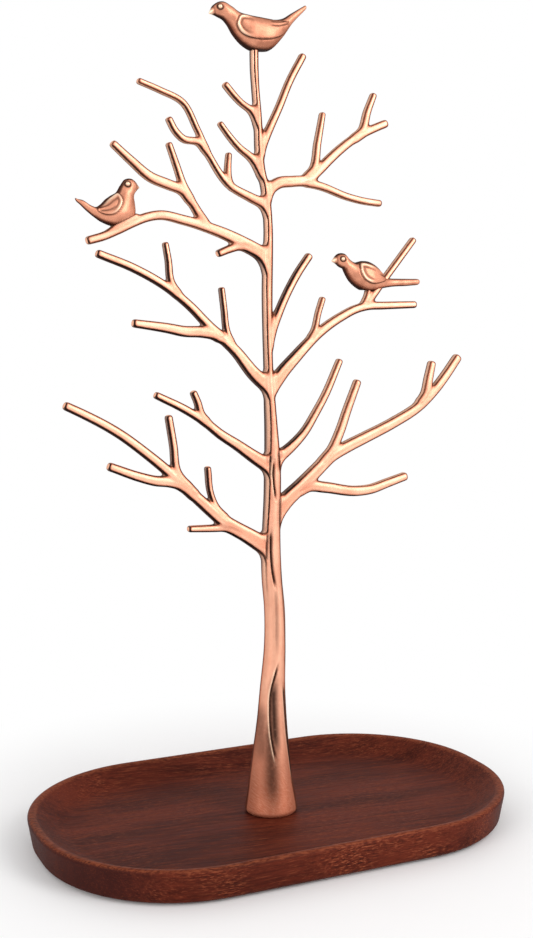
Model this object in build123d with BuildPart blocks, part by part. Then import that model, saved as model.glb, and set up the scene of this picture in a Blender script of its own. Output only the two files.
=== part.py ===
from build123d import *
from math import atan, degrees
import os

# A desk-top jewelry rack: a flat metal tree with three small birds, standing on a long wooden dish.
# Millimetres. The origin is at the middle of the dish on the table, +X runs along the dish,
# +Y away from the viewer and +Z up. The whole tree lies about the plane Y = 0.

os.makedirs("parts", exist_ok=True)

# Dish
dish_length = 241  # to the sharp corner before the rim is rounded
dish_width = 148
dish_rim_height = 16.8
dish_end_straight = 10  # straight run across each end, between its two corners
dish_corner = (dish_width - dish_end_straight) / 2
dish_wall_lean = 2.8
dish_rim = 3.6
dish_outer_round = dish_rim / 2
dish_inner_round = dish_rim
dish_floor_height = 8
dish_inner_lean = 56
dish_floor_round = 14
dish_low_round = 3.5

# Pads under the dish
pad_radius = 7
pad_thick = 1.8
pad_proud = 0.8
pad_spread = (170, 80)

# Foot fixing: screw, washer and locating pin
screw_radius = 2.5
screw_length = 14
screw_head_radius = 4.75
screw_head_height = 2.75
screw_key = 3
screw_key_depth = 1.5
screw_sunk = 0.6
washer_radius = 7.5
washer_thick = 1.2
locator_radius = 1.5
locator_length = 8
locator_offset = -10
foot_bore_depth = 11.5

# Fits between pieces
hole_clearance = 0.3
thread_clearance = 0.05
pin_clearance = 0.05
seat_clearance = 0.15

# Root joints of the limbs on the trunk
root_pin_radius = 0.9
root_pin_length = 1.8
root_flat_depth = 0.5

# Perches of the birds
perch_pin_radius = 1.0
perch_pin_length = 4.5
trunk_top = 374

# The trunk: height, middle in X, width in X, depth in Y
trunk_stations = [
    (dish_floor_height, -0.6, 26.4, 26.4),
    (12, -0.6, 25.4, 25.4),
    (18, -0.7, 23.4, 23.4),
    (27, -0.9, 20.9, 20.6),
    (41, -0.6, 17.8, 17.0),
    (55, -0.2, 15.0, 13.8),
    (70, 0.2, 12.9, 11.6),
    (92, 1.4, 11.1, 9.8),
    (110, 1.2, 10.6, 9.0),
    (125, -0.2, 10.6, 8.7),
    (137, -0.9, 10.0, 8.4),
    (150, -1.0, 9.0, 8.2),
    (165, -0.6, 8.9, 8.0),
    (178, -0.5, 8.6, 7.7),
    (190, -0.6, 7.8, 7.3),
    (200, -0.8, 6.8, 7.0),
    (214, -1.5, 6.8, 6.5),
    (228, -2.1, 4.9, 5.7),
    (245, -2.5, 5.3, 5.6),
    (268, -2.6, 6.0, 5.4),
    (280, -2.1, 5.8, 5.3),
    (292, -1.9, 5.0, 5.1),
    (304, -2.9, 4.8, 5.0),
    (312, -3.9, 4.9, 4.9),
    (320, -5.9, 4.9, 4.9),
    (328, -6.8, 4.9, 4.8),
    (337, -7.2, 4.7, 4.7),
    (347, -7.8, 4.3, 4.6),
    (356, -8.6, 4.2, 4.5),
    (366, -9.2, 4.6, 4.6),
    (trunk_top, -9.3, 4.8, 4.7),
]

# Cylinders and boxes that stand on a point or hang below it
standing = (Align.CENTER, Align.CENTER, Align.MIN)
hung = (Align.CENTER, Align.CENTER, Align.MAX)

# Where each limb meets the trunk: side (-1 left, +1 right), height of its root pin, height of its flat
roots = {
    "limb_left_low": (-1, 142.0, 15),
    "limb_right_low": (1, 158.0, 16),
    "limb_left_short": (-1, 181.5, 12),
    "twig_right_low": (1, 183.5, 12),
    "limb_left_middle": (-1, 219.0, 14),
    "limb_right_bird": (1, 218.5, 15),
    "twig_right_middle": (1, 244.0, 17),
    "limb_left_bird": (-1, 280.0, 14),
    "limb_left_upper": (-1, 304.0, 9),
    "limb_right_upper": (1, 310.5, 12),
    "twig_left_upper": (-1, 321.5, 9),
    "twig_right_top": (1, 331.5, 14),
    "twig_left_top": (-1, 345.0, 9),
}


def trunk_at(height):
    """Middle in X and width in X of the trunk at a height."""
    for (z0, x0, w0, _), (z1, x1, w1, _) in zip(trunk_stations, trunk_stations[1:]):
        if z0 <= height <= z1:
            part_way = (height - z0) / (z1 - z0)
            return x0 + (x1 - x0) * part_way, w0 + (w1 - w0) * part_way


def flat_x(name):
    """X of the upright flat that a limb's root sits against."""
    side, height, _ = roots[name]
    middle, width = trunk_at(height)
    return middle + side * (width / 2 - root_flat_depth)


def twig(points, widths, depth=0.94):
    """Sweep a tapered, round-ended twig into the open part.

    points are (x, z) from the root to the very end; widths are the widths at the root,
    a fifth of the way out and at the end; depth is its front-to-back size against its width.
    """
    path = [Vector(x, 0, z) for x, z in points]
    tip_radius = widths[-1] / 2
    path[-1] -= (path[-1] - path[-2]).normalized() * tip_radius
    with BuildPart() as piece:
        with BuildLine():
            run = Spline(*path)
        for along, width in zip((0, 0.2, 1), widths):
            with BuildSketch(Plane(origin=run @ along, x_dir=(0, 1, 0), z_dir=run % along)):
                Ellipse(width * depth / 2, width / 2)
        sweep(path=run, multisection=True)
        with Locations(run @ 1):
            Sphere(tip_radius)
    add(piece.part)


def root_joint(name):
    """Trim the open limb at its flat on the trunk and give it its root pin."""
    side, height, _ = roots[name]
    x = flat_x(name)
    with Locations((x - side * 15, 0, height)):
        Box(30, 20, 60, mode=Mode.SUBTRACT)
    with Locations((x - side * root_pin_length / 2 + side * 0.5, 0, height)):
        Cylinder(root_pin_radius, root_pin_length + 1, rotation=(0, 90, 0))


def finish(part, name):
    """Label one piece and write it out."""
    part.label = name
    export_step(part, f"parts/{name}.step")


# Dish: turned-out wall, thin rounded rim and a shallow hollow with wide soft slopes
dish_bottom = pad_proud
dish_height = dish_rim_height - dish_bottom
counterbore_depth = screw_sunk + screw_head_height + washer_thick
washer_seat = dish_bottom + counterbore_depth
locator_bottom = dish_floor_height - locator_length / 2

with BuildPart() as dish:
    with BuildSketch(Plane.XY.offset(dish_bottom)):
        RectangleRounded(
            dish_length - 2 * dish_wall_lean, dish_width - 2 * dish_wall_lean, dish_corner - dish_wall_lean
        )
    extrude(amount=dish_height, taper=-degrees(atan(dish_wall_lean / dish_height)))
    with BuildSketch(Plane.XY.offset(dish_rim_height)):
        RectangleRounded(dish_length - 2 * dish_rim, dish_width - 2 * dish_rim, dish_corner - dish_rim)
    extrude(amount=dish_floor_height - dish_rim_height, taper=dish_inner_lean, mode=Mode.SUBTRACT)
    hollow_edges = dish.edges().filter_by_position(Axis.Z, dish_floor_height - 0.01, dish_floor_height + 0.01)
    fillet(hollow_edges, dish_floor_round)
    rim = dish.faces().sort_by(Axis.Z)[-1]
    fillet(rim.inner_wires()[0].edges(), dish_inner_round)
    rim = dish.faces().sort_by(Axis.Z)[-1]
    fillet(rim.outer_wire().edges(), dish_outer_round)
    under_edges = dish.edges().filter_by_position(Axis.Z, dish_bottom - 0.01, dish_bottom + 0.01)
    fillet(under_edges, dish_low_round)
    # Screw hole with its counterbore, locating hole, and pockets for the pads
    with Locations((trunk_stations[0][1], 0, dish_floor_height)):
        Cylinder(screw_radius + hole_clearance, 30, mode=Mode.SUBTRACT)
    with Locations((trunk_stations[0][1], 0, washer_seat)):
        Cylinder(washer_radius + hole_clearance, 10, align=hung, mode=Mode.SUBTRACT)
    with Locations((trunk_stations[0][1] + locator_offset, 0, locator_bottom - 0.2)):
        Cylinder(locator_radius + pin_clearance, 10, align=standing, mode=Mode.SUBTRACT)
    with Locations(Plane.XY.offset(pad_thick)):
        with GridLocations(*pad_spread, 2, 2):
            Cylinder(pad_radius + seat_clearance, 10, align=hung, mode=Mode.SUBTRACT)
finish(dish.part, "dish")

# Four round pads let into the underside
with BuildPart() as pads:
    with BuildSketch():
        with GridLocations(*pad_spread, 2, 2):
            Circle(pad_radius)
    extrude(amount=pad_thick)
    chamfer(pads.edges().group_by(Axis.Z)[0], 0.3)
finish(pads.part, "pads")

# Trunk: flared round foot, drawn up into a slim flattened stem
foot_x = trunk_stations[0][1]
with BuildPart() as trunk:
    for height, middle, width, depth in trunk_stations:
        with BuildSketch(Plane.XY.offset(height)):
            with Locations((middle, 0)):
                Ellipse(width / 2, depth / 2)
    loft()
    fillet(trunk.edges().group_by(Axis.Z)[0], 1.4)
    # Flats and sockets for the limb roots
    for name, (side, height, tall) in roots.items():
        x = flat_x(name)
        with Locations((x + side * 10, 0, height)):
            Box(20, 30, tall, mode=Mode.SUBTRACT)
        with Locations(Plane(origin=(x - side * (root_pin_length + 0.1), 0, height), z_dir=(side, 0, 0))):
            Cylinder(root_pin_radius + pin_clearance, 2 * root_pin_length, align=standing, mode=Mode.SUBTRACT)
    # Tapped bore for the foot screw and blind hole for the locating pin
    with Locations((foot_x, 0, dish_floor_height)):
        Cylinder(screw_radius + thread_clearance, foot_bore_depth, align=standing, mode=Mode.SUBTRACT)
    with Locations((foot_x + locator_offset, 0, dish_floor_height)):
        Cylinder(locator_radius + pin_clearance, locator_length / 2 + 0.2, align=standing, mode=Mode.SUBTRACT)
    # Peg for the top bird
    with Locations((trunk_stations[-1][1], 0, trunk_top - 1)):
        Cylinder(perch_pin_radius, perch_pin_length + 1, align=standing)
finish(trunk.part, "trunk")

# Screw from below: button head with a hexagon socket
head_top = washer_seat - washer_thick
with BuildPart() as foot_screw:
    with BuildSketch(Plane.XY.offset(head_top)):
        with Locations((foot_x, 0)):
            Circle(screw_head_radius)
    extrude(amount=-screw_head_height)
    fillet(foot_screw.edges().group_by(Axis.Z)[0], 1.6)
    with BuildSketch(Plane.XY.offset(head_top)):
        with Locations((foot_x, 0)):
            Circle(screw_radius)
    extrude(amount=screw_length)
    chamfer(foot_screw.edges().group_by(Axis.Z)[-1], 0.5)
    with BuildSketch(Plane.XY.offset(head_top - screw_head_height)):
        with Locations((foot_x, 0)):
            RegularPolygon(screw_key / 2, 6, major_radius=False)
    extrude(amount=screw_key_depth, mode=Mode.SUBTRACT)
finish(foot_screw.part, "foot_screw")

with BuildPart() as foot_washer:
    with BuildSketch(Plane.XY.offset(head_top)):
        with Locations((foot_x, 0)):
            Circle(washer_radius)
            Circle(screw_radius + hole_clearance / 2, mode=Mode.SUBTRACT)
    extrude(amount=washer_thick)
finish(foot_washer.part, "foot_washer")

# Pin that keeps the tree square to the dish
with BuildPart() as locating_pin:
    with Locations((foot_x + locator_offset, 0, locator_bottom)):
        Cylinder(locator_radius, locator_length, align=standing)
    chamfer(locating_pin.edges(), 0.3)
finish(locating_pin.part, "locating_pin")

# Lowest left limb: a long rising arm with four side twigs
with BuildPart() as limb_left_low:
    twig(
        [(0, 138.5), (-9.8, 145), (-25, 154.6), (-39.2, 166.8), (-51.2, 178), (-63.8, 188.6), (-77.5, 198.9),
         (-94.3, 208.3), (-102.8, 212.4)],
        (9.6, 7.2, 3.5),
    )
    twig([(-42, 169.6), (-49.4, 180), (-51, 191.7), (-53.4, 206.3)], (5.6, 4.6, 3.4))
    twig([(-38.5, 166.2), (-45, 172.2), (-52.5, 174.9), (-60, 175.8), (-67.3, 177.9), (-82.9, 183.7)],
         (5.4, 5.4, 3.7))
    twig([(-23.5, 154), (-29.8, 162.5), (-32.3, 169), (-33.7, 181.5)], (5.8, 4, 3))
    twig([(-14, 148), (-24.4, 151.8), (-31.1, 152.2), (-43.9, 152.5)], (5.4, 4.8, 3.4))
    root_joint("limb_left_low")
finish(limb_left_low.part, "limb_left_low")

# Short forked limb above it
with BuildPart() as limb_left_short:
    twig(
        [(-1, 179.5), (-10.5, 185.5), (-18.5, 191), (-26.7, 196.2), (-35.2, 202.8), (-45, 209.2),
         (-59.6, 216.4)],
        (7.6, 5.8, 3.4),
    )
    twig([(-32, 200), (-36.9, 206.6), (-38.7, 212), (-41, 217.2)], (4.6, 4, 3.2))
    root_joint("limb_left_short")
finish(limb_left_short.part, "limb_left_short")

# Middle left limb: forks into a rising arm and a level arm
with BuildPart() as limb_left_middle:
    twig(
        [(-0.5, 217.2), (-9.2, 224.2), (-19.6, 236), (-26.8, 242.3), (-34, 248.8), (-41.4, 256),
         (-52.9, 264.8), (-68.9, 273.4), (-86.7, 280)],
        (7.8, 5.8, 3.3),
    )
    twig([(-24.5, 240.2), (-30, 243.2), (-36.5, 244.4), (-44.7, 244.6), (-52.9, 246), (-70.3, 248.3)],
         (5.4, 5.3, 3.6))
    twig([(-46, 259.5), (-51.4, 267.8), (-52.6, 277), (-54.2, 285.4)], (4.6, 3.8, 2.9))
    twig([(-20, 236.8), (-23.6, 245), (-24.9, 255), (-26.2, 265.3)], (4.6, 3.6, 2.8))
    root_joint("limb_left_middle")
finish(limb_left_middle.part, "limb_left_middle")

# Left limb with a bird near its end
left_perch_slope = 26.6
left_perch = Plane(origin=(-76.4, 0, 293.3)).rotated((0, -left_perch_slope, 0))
with BuildPart() as limb_left_bird:
    twig(
        [(-1.5, 276), (-6, 281), (-11.8, 284.2), (-23.8, 289.6), (-33, 292.6), (-45, 295.6), (-56.5, 297.4),
         (-62.8, 296.2), (-69.1, 293.7), (-76.2, 290.3), (-83.9, 287), (-91.2, 284.9)],
        (8, 5.8, 3.6),
    )
    twig([(-32.5, 292), (-39, 301.1), (-45.2, 312), (-48.1, 319.8), (-51.9, 330)], (5.4, 4.6, 3.1))
    twig(
        [(-40, 302), (-46.2, 309.2), (-52.3, 311.3), (-60.6, 314.2), (-69.3, 320.7), (-78.8, 328.6)],
        (4, 4.4, 3.2),
    )
    twig([(-8, 283), (-15, 284.6), (-21.8, 283), (-28.5, 280.4)], (5, 4.5, 3.5))
    with Locations(left_perch.offset(-1.5)):
        Box(8, 3, 3)
    with Locations(left_perch):
        Cylinder(perch_pin_radius, perch_pin_length, align=standing)
    root_joint("limb_left_bird")
finish(limb_left_bird.part, "limb_left_bird")

# Upper left limb
with BuildPart() as limb_left_upper:
    twig(
        [(-1.5, 301.5), (-5.2, 304.4), (-11, 306.9), (-22.4, 312.6), (-31.6, 324.3), (-38, 336.8),
         (-44.8, 348.1), (-55.8, 352.8), (-66.4, 356.3)],
        (5.4, 4.4, 3.1),
    )
    twig([(-32, 324.6), (-37.6, 330.8), (-44.7, 331.8), (-49.2, 335.4), (-52.5, 340.9)], (3.8, 3.9, 3))
    twig([(-21, 310.8), (-22.6, 315.5), (-22.7, 320), (-22.6, 327)], (4.6, 4, 3))
    root_joint("limb_left_upper")
finish(limb_left_upper.part, "limb_left_upper")

with BuildPart() as twig_left_upper:
    twig([(-5.5, 318.8), (-11.2, 325.2), (-17.2, 329.2), (-22.8, 335), (-27.2, 340.3)], (5.4, 3.8, 3))
    root_joint("twig_left_upper")
finish(twig_left_upper.part, "twig_left_upper")

with BuildPart() as twig_left_top:
    twig([(-7, 342.6), (-11, 346.7), (-16.2, 350), (-19.6, 353), (-24.6, 358.1)], (5.6, 4, 3.1))
    root_joint("twig_left_top")
finish(twig_left_top.part, "twig_left_top")

# Lowest right limb: three arms, the long one splitting again at its end
with BuildPart() as limb_right_low:
    twig(
        [(0, 154), (4.9, 159.4), (14, 169.9), (24, 177), (33.8, 183.8), (49.8, 191.4), (67, 198.9),
         (81, 206.4), (91, 215.2), (96.8, 221.8), (104.8, 232.1)],
        (8.6, 6.8, 3.9),
    )
    twig([(25.5, 178), (32.7, 187.2), (36.7, 195.3), (40.4, 205.1), (46.8, 220.6)], (5.4, 5, 3.8))
    twig([(80, 205.8), (85.4, 212.8), (87, 220.7), (89, 229.4)], (4.8, 4.6, 3.6))
    twig(
        [(11, 166), (19.8, 168.9), (28.2, 168.4), (46.2, 165.1), (54.3, 165.8), (62.9, 168.5), (75, 171.9)],
        (6, 5.3, 3.7),
    )
    root_joint("limb_right_low")
finish(limb_right_low.part, "limb_right_low")

with BuildPart() as twig_right_low:
    twig([(-1, 180), (4, 184.6), (10.1, 189.2), (16.4, 195.4), (22.8, 204.9), (27.6, 212.8), (36.2, 231.2)],
         (6.8, 5.2, 3.3))
    root_joint("twig_right_low")
finish(twig_right_low.part, "twig_right_low")

# Right limb with a bird: a level arm, a short inner twig, and a straight rising twig that carries the bird
right_twig_foot = (52.6, 260.1)
right_twig_end = (77.5, 290.4)
right_perch_rise = 4.5  # the bird's flat underside above the foot of its twig
right_perch_height = right_twig_foot[1] + right_perch_rise
right_twig_bore = 2.3
with BuildPart() as limb_right_bird:
    twig(
        [(-0.5, 218), (6, 225.8), (12.2, 232), (18.2, 237.8), (23.8, 242.7), (29.4, 246.7), (37.2, 251.3),
         (45.2, 255), (51.6, 256.6), (60, 257), (79.3, 257.6)],
        (7.4, 5.9, 3.8),
    )
    twig([(19.5, 238.5), (22.6, 246.5), (24.1, 253.4), (26.6, 261.2)], (4.6, 3.7, 3))
    twig([(49, 256.2), right_twig_foot, (59, 267.7), right_twig_end], (5, 3.7, 3.2))
    twig([(47.6, 256.2), (50.2, 260), (51.4, 263), (52, right_perch_height + 1.5)], (3.4, 2.6, 2.6))
    with Locations((50.1, 0, right_perch_height)):
        Box(7, 20, 20, align=standing, mode=Mode.SUBTRACT)
    root_joint("limb_right_bird")
finish(limb_right_bird.part, "limb_right_bird")

with BuildPart() as twig_right_middle:
    twig([(-2.6, 238.5), (1.8, 250), (6.8, 261), (13.5, 272.5), (19.9, 281.4)], (5.4, 4.5, 3.2))
    root_joint("twig_right_middle")
finish(twig_right_middle.part, "twig_right_middle")

# Upper right limb: forks three ways, with a twin end
with BuildPart() as limb_right_upper:
    twig(
        [(-3.5, 308.2), (-0.5, 312), (3.1, 314.3), (10.5, 315.4), (18.5, 316.6), (24, 321.2), (30, 326.8),
         (36.1, 332), (43.7, 337.4), (55.5, 343.2), (61.4, 345.6)],
        (6.2, 4.8, 3.1),
    )
    twig([(15.5, 315.8), (21, 321), (23.4, 333.8), (26.2, 348.2)], (4.6, 4.5, 3.1))
    twig([(41, 334.8), (47.6, 340.5), (50.6, 350.2), (54, 359)], (3.8, 3.9, 3))
    twig([(15, 315.4), (25.2, 313.8), (40.6, 309.3), (48.4, 307.7), (58.7, 306.6)], (4.4, 4.2, 3.2))
    root_joint("limb_right_upper")
finish(limb_right_upper.part, "limb_right_upper")

with BuildPart() as twig_right_top:
    twig([(-6.6, 328), (-1.9, 338.4), (3, 348.7), (8.9, 361.6), (16.1, 374.2)], (5, 4.2, 3.2))
    root_joint("twig_right_top")
finish(twig_right_top.part, "twig_right_top")


def bird_body(chords, extra=0):
    """Loft a bird's body into the open part through (back point, belly point, width) chords."""
    with BuildPart() as shell:
        for back, belly, width in chords:
            high, low = Vector(back[0], 0, back[1]), Vector(belly[0], 0, belly[1])
            across = Vector(0, 1, 0)
            forward = across.cross(high - low)
            with BuildSketch(Plane(origin=(high + low) / 2, x_dir=across, z_dir=forward)):
                Ellipse((width + extra) / 2, (high - low).length / 2)
        loft()
    return shell.part


def peg_hole():
    """Bore a bird from below for the peg it stands on."""
    Cylinder(perch_pin_radius + pin_clearance, perch_pin_length + 0.3, align=standing, mode=Mode.SUBTRACT)


def bird(chords, beak_tip, eye, wing):
    """Build a whole bird into the open part: body, tail end, beak, eye beads and raised wings."""
    body = bird_body(chords)
    add(body)
    back, belly, width = chords[-1]
    with Locations(((back[0] + belly[0]) / 2, 0, (back[1] + belly[1]) / 2)):
        Sphere(width * 0.47)
    back, belly, width = chords[0]
    face = Vector((back[0] + belly[0]) / 2, 0, (back[1] + belly[1]) / 2)
    point = Vector(beak_tip[0], 0, beak_tip[1])
    with Locations(Plane(origin=face + (face - point) * 0.3, z_dir=point - face)):
        Cone(width * 0.42, 0.5, (point - face).length * 1.3, align=standing)
    eye_x, eye_z, eye_y = eye
    with Locations((eye_x, eye_y, eye_z), (eye_x, -eye_y, eye_z)):
        Sphere(0.95)
    with BuildPart() as wings:
        add(bird_body(chords, extra=1.1))
        with BuildSketch(Plane.XZ):
            with BuildLine():
                Spline(*wing, periodic=True)
            make_face()
        extrude(amount=20, both=True, mode=Mode.INTERSECT)
    add(wings.part)


# Top bird, facing left with its tail raised, on the peg of the trunk
with BuildPart() as bird_top:
    bird(
        [
            ((-30.5, 391.2), (-29.5, 387.9), 3.4),
            ((-28.3, 393.3), (-27.5, 387.2), 5.4),
            ((-25.2, 394.3), (-24.9, 386.2), 7.0),
            ((-21.2, 392.8), (-22.6, 384.0), 7.6),
            ((-17.2, 390.5), (-19.5, 379.6), 9.2),
            ((-12.0, 389.5), (-14.8, 375.4), 11.5),
            ((-6.0, 389.0), (-8.2, 373.0), 12.4),
            ((0.2, 388.5), (-1.2, 374.7), 11.0),
            ((5.0, 389.4), (4.8, 380.5), 7.6),
            ((9.5, 392.1), (10.0, 387.4), 4.6),
            ((16.6, 396.6), (17.2, 394.9), 1.9),
        ],
        (-31.7, 388.4),
        (-26.0, 391.8, 3.0),
        [(-16.6, 388.6), (-17.2, 386.4), (-15.8, 382.4), (-11.4, 379.4), (-3, 379.5), (4.2, 382.2),
         (7.6, 387.6), (0.4, 388), (-9.7, 388.8)],
    )
    with Locations((-9, 0, trunk_top)):
        Box(30, 30, 20, align=hung, mode=Mode.SUBTRACT)
    with Locations((trunk_stations[-1][1], 0, trunk_top)):
        peg_hole()
finish(bird_top.part, "bird_top")

# Left bird, upright and facing right, on the flat of its limb
with BuildPart() as bird_left:
    bird(
        [
            ((-68.0, 311.8), (-66.7, 308.4), 3.6),
            ((-69.8, 313.0), (-67.8, 307.2), 5.4),
            ((-72.6, 312.7), (-68.5, 306.0), 6.8),
            ((-74.8, 310.1), (-68.7, 304.6), 7.0),
            ((-76.8, 306.9), (-68.3, 301.8), 8.4),
            ((-79.4, 305.3), (-68.2, 297.4), 10.2),
            ((-82.0, 303.5), (-72.0, 293.2), 11.0),
            ((-84.2, 301.3), (-78.4, 291.7), 9.6),
            ((-86.6, 300.0), (-83.6, 293.3), 6.8),
            ((-89.2, 300.9), (-87.2, 295.5), 4.8),
            ((-92.4, 302.8), (-91.0, 298.4), 3.6),
            ((-95.2, 303.4), (-94.5, 301.5), 2.2),
        ],
        (-65.9, 309.3),
        (-71.2, 310.9, 3.0),
        [(-76.4, 306), (-75.2, 303.2), (-76.4, 299.7), (-79.5, 296.8), (-83.4, 296.6), (-86.4, 298.6),
         (-83.7, 301.2), (-80.2, 304.2)],
    )
    with Locations(left_perch):
        Box(40, 30, 20, align=hung, mode=Mode.SUBTRACT)
        peg_hole()
finish(bird_left.part, "bird_left")

# Right bird, facing left with a long level tail, threaded on the rising twig
with BuildPart() as bird_right:
    bird(
        [
            ((33.4, 280.6), (33.6, 277.2), 3.4),
            ((35.2, 282.0), (35.8, 275.6), 5.6),
            ((38.2, 282.1), (38.0, 274.6), 6.8),
            ((41.0, 279.6), (39.3, 272.2), 7.2),
            ((43.8, 278.0), (41.6, 268.8), 8.8),
            ((48.0, 278.7), (45.8, 265.4), 11.2),
            ((52.4, 278.2), (51.4, 263.6), 12.0),
            ((57.0, 275.4), (56.5, 264.6), 9.8),
            ((60.6, 271.4), (60.2, 265.6), 6.8),
            ((64.0, 270.5), (63.8, 266.2), 5.2),
            ((68.0, 270.4), (67.9, 266.6), 4.6),
            ((73.0, 270.4), (73.0, 266.8), 4.0),
            ((76.5, 270.4), (76.5, 267.1), 3.6),
            ((79.6, 270.4), (79.6, 267.4), 3.1),
        ],
        (31.6, 278.3),
        (38.2, 279.4, 3.0),
        [(45.6, 277), (45.2, 273.1), (46.8, 270.2), (50.5, 268), (56, 268.2), (60, 269.8), (57, 273.6),
         (51.5, 276.6)],
    )
    with Locations((50, 0, right_perch_height)):
        Box(40, 30, 20, align=hung, mode=Mode.SUBTRACT)
    foot, rise = Vector(*right_twig_foot), Vector(*right_twig_end) - Vector(*right_twig_foot)
    with Locations(Plane(origin=(foot.X, 0, foot.Y), x_dir=(0, 1, 0), z_dir=(rise.X, 0, rise.Y))):
        Cylinder(right_twig_bore, 40, mode=Mode.SUBTRACT)
finish(bird_right.part, "bird_right")
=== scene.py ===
"""Jewelry rack: a flat copper-finished tree with three small birds on a long wooden dish."""

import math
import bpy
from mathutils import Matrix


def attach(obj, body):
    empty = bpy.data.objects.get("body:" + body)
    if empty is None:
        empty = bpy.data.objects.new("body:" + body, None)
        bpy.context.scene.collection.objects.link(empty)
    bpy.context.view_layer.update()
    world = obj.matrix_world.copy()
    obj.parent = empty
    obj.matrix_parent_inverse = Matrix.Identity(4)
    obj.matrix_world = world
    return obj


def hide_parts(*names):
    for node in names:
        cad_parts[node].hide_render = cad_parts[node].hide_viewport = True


bl_info = {
    "name": "Jewelry Rack",
    "version": (1, 0, 0),
    "blender": (4, 5, 0),
    "location": "3D View > Sidebar > Rack",
    "description": "Dresses the cast tree, its birds and the wooden dish, and sets up the studio",
    "category": "Object",
}

import bpy
import numpy as np
from bpy.props import FloatProperty, FloatVectorProperty, IntProperty, PointerProperty
from bpy.types import Operator, Panel, PropertyGroup
from mathutils import Vector

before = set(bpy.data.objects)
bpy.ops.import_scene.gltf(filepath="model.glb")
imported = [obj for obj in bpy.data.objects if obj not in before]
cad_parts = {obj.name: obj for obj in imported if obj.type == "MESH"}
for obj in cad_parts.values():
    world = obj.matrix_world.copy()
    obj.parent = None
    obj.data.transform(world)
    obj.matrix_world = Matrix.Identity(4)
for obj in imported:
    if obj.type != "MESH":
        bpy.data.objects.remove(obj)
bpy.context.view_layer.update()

MM = 0.001

# ---- The tree's own measures, millimetres: X along the dish, Z up, the tree in the plane Y = 0 ----

# Height, middle in X, width in X, depth in Y of the trunk
TRUNK = [
    (8, -0.6, 26.4, 26.4), (12, -0.6, 25.4, 25.4), (18, -0.7, 23.4, 23.4), (27, -0.9, 20.9, 20.6),
    (41, -0.6, 17.8, 17.0), (55, -0.2, 14.9, 14.0), (70, 0.2, 12.7, 12.0), (92, 1.4, 10.6, 10.6),
    (110, 1.2, 10.2, 9.6), (125, -0.2, 9.9, 9.2), (137, -0.7, 9.4, 9.1), (150, -0.5, 8.3, 9.1),
    (165, 0.0, 7.6, 9.0), (178, 0.1, 7.2, 9.2), (190, -0.2, 6.0, 9.2), (200, -0.7, 5.0, 9.0),
    (214, -1.5, 4.4, 7.6), (228, -2.1, 3.8, 6.4), (245, -2.5, 4.1, 6.2), (268, -2.6, 4.5, 6.0),
    (280, -2.3, 4.2, 5.9), (292, -2.1, 3.7, 5.7), (304, -2.9, 3.6, 5.6), (312, -3.9, 3.6, 5.6),
    (320, -5.9, 3.6, 5.6), (328, -6.8, 3.6, 5.6), (337, -7.2, 3.5, 5.5), (347, -7.8, 3.2, 5.5),
    (356, -8.6, 3.1, 5.4), (366, -9.2, 3.4, 5.4), (374, -9.3, 3.5, 5.4),
]
TRUNK_FOOT, TRUNK_TOP = TRUNK[0][0], TRUNK[-1][0]
# Height, share of the half width that is rounded over, squareness across and in depth
TRUNK_SECTION = [
    (8, 1.0, 2.0, 2.0), (60, 1.0, 2.0, 2.0), (110, 1.0, 2.0, 2.1), (140, 0.97, 2.1, 2.5),
    (165, 0.92, 2.1, 3.0), (220, 0.9, 2.1, 3.2), (374, 0.95, 2.1, 3.2),
]

# Chased lines on the trunk, and broad shallow hollows on its lower part darkened with painted shade and
# reflection: points, depth, half width, shade, and shade of the lip on the left
TRUNK_LINES = [
    ([(-0.7, 183.6), (-1.1, 178.6), (-1.1, 173.0), (-0.6, 168.4), (0.1, 163.6)], 1.9, 0.65, 1.0, 1.0),
    ([(-2.4, 150.0), (-2.4, 145.0), (-2.4, 137.8), (-1.8, 130.0), (0.0, 120.2)], 1.7, 0.8, 1.0, 0.0),
    ([(-0.4, 124.0), (0.2, 109.1), (0.2, 97.7), (0.0, 84.0)], 0.5, 1.7, 0.5, 0.0),
    ([(0.9, 83.4), (-1.0, 76.5), (-3.0, 67.5), (-3.5, 58.0), (-3.2, 47.0), (-1.6, 34.6)],
     1.3, 0.8, 1.0, 1.0),
    # The next three are broad patches of painted shadow and reflection over shallow dips on the lower trunk
    ([(-1.0, 80.0), (-1.7, 66.0), (-1.6, 52.0), (-0.6, 32.0)], 0.7, 3.9, 1.0, 0.0),
    ([(-3.2, 62.0), (-3.7, 47.0), (-4.2, 33.0), (-4.8, 6.0)], 0.4, 7.0, 0.85, 0.0),
    ([(-7.6, 66.0), (-7.4, 52.0), (-6.8, 28.0)], 0.2, 5.6, 0.6, 0.0),
    ([(3.2, 132.0), (4.3, 114.4), (5.2, 99.4), (5.5, 90.3), (5.0, 80.0)], 0.4, 0.8, 0.6, 0.0),
    ([(3.9, 73.0), (4.5, 62.9), (5.6, 45.8), (8.6, 24.5)], 0.9, 1.1, 1.0, 0.5),
]

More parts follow.
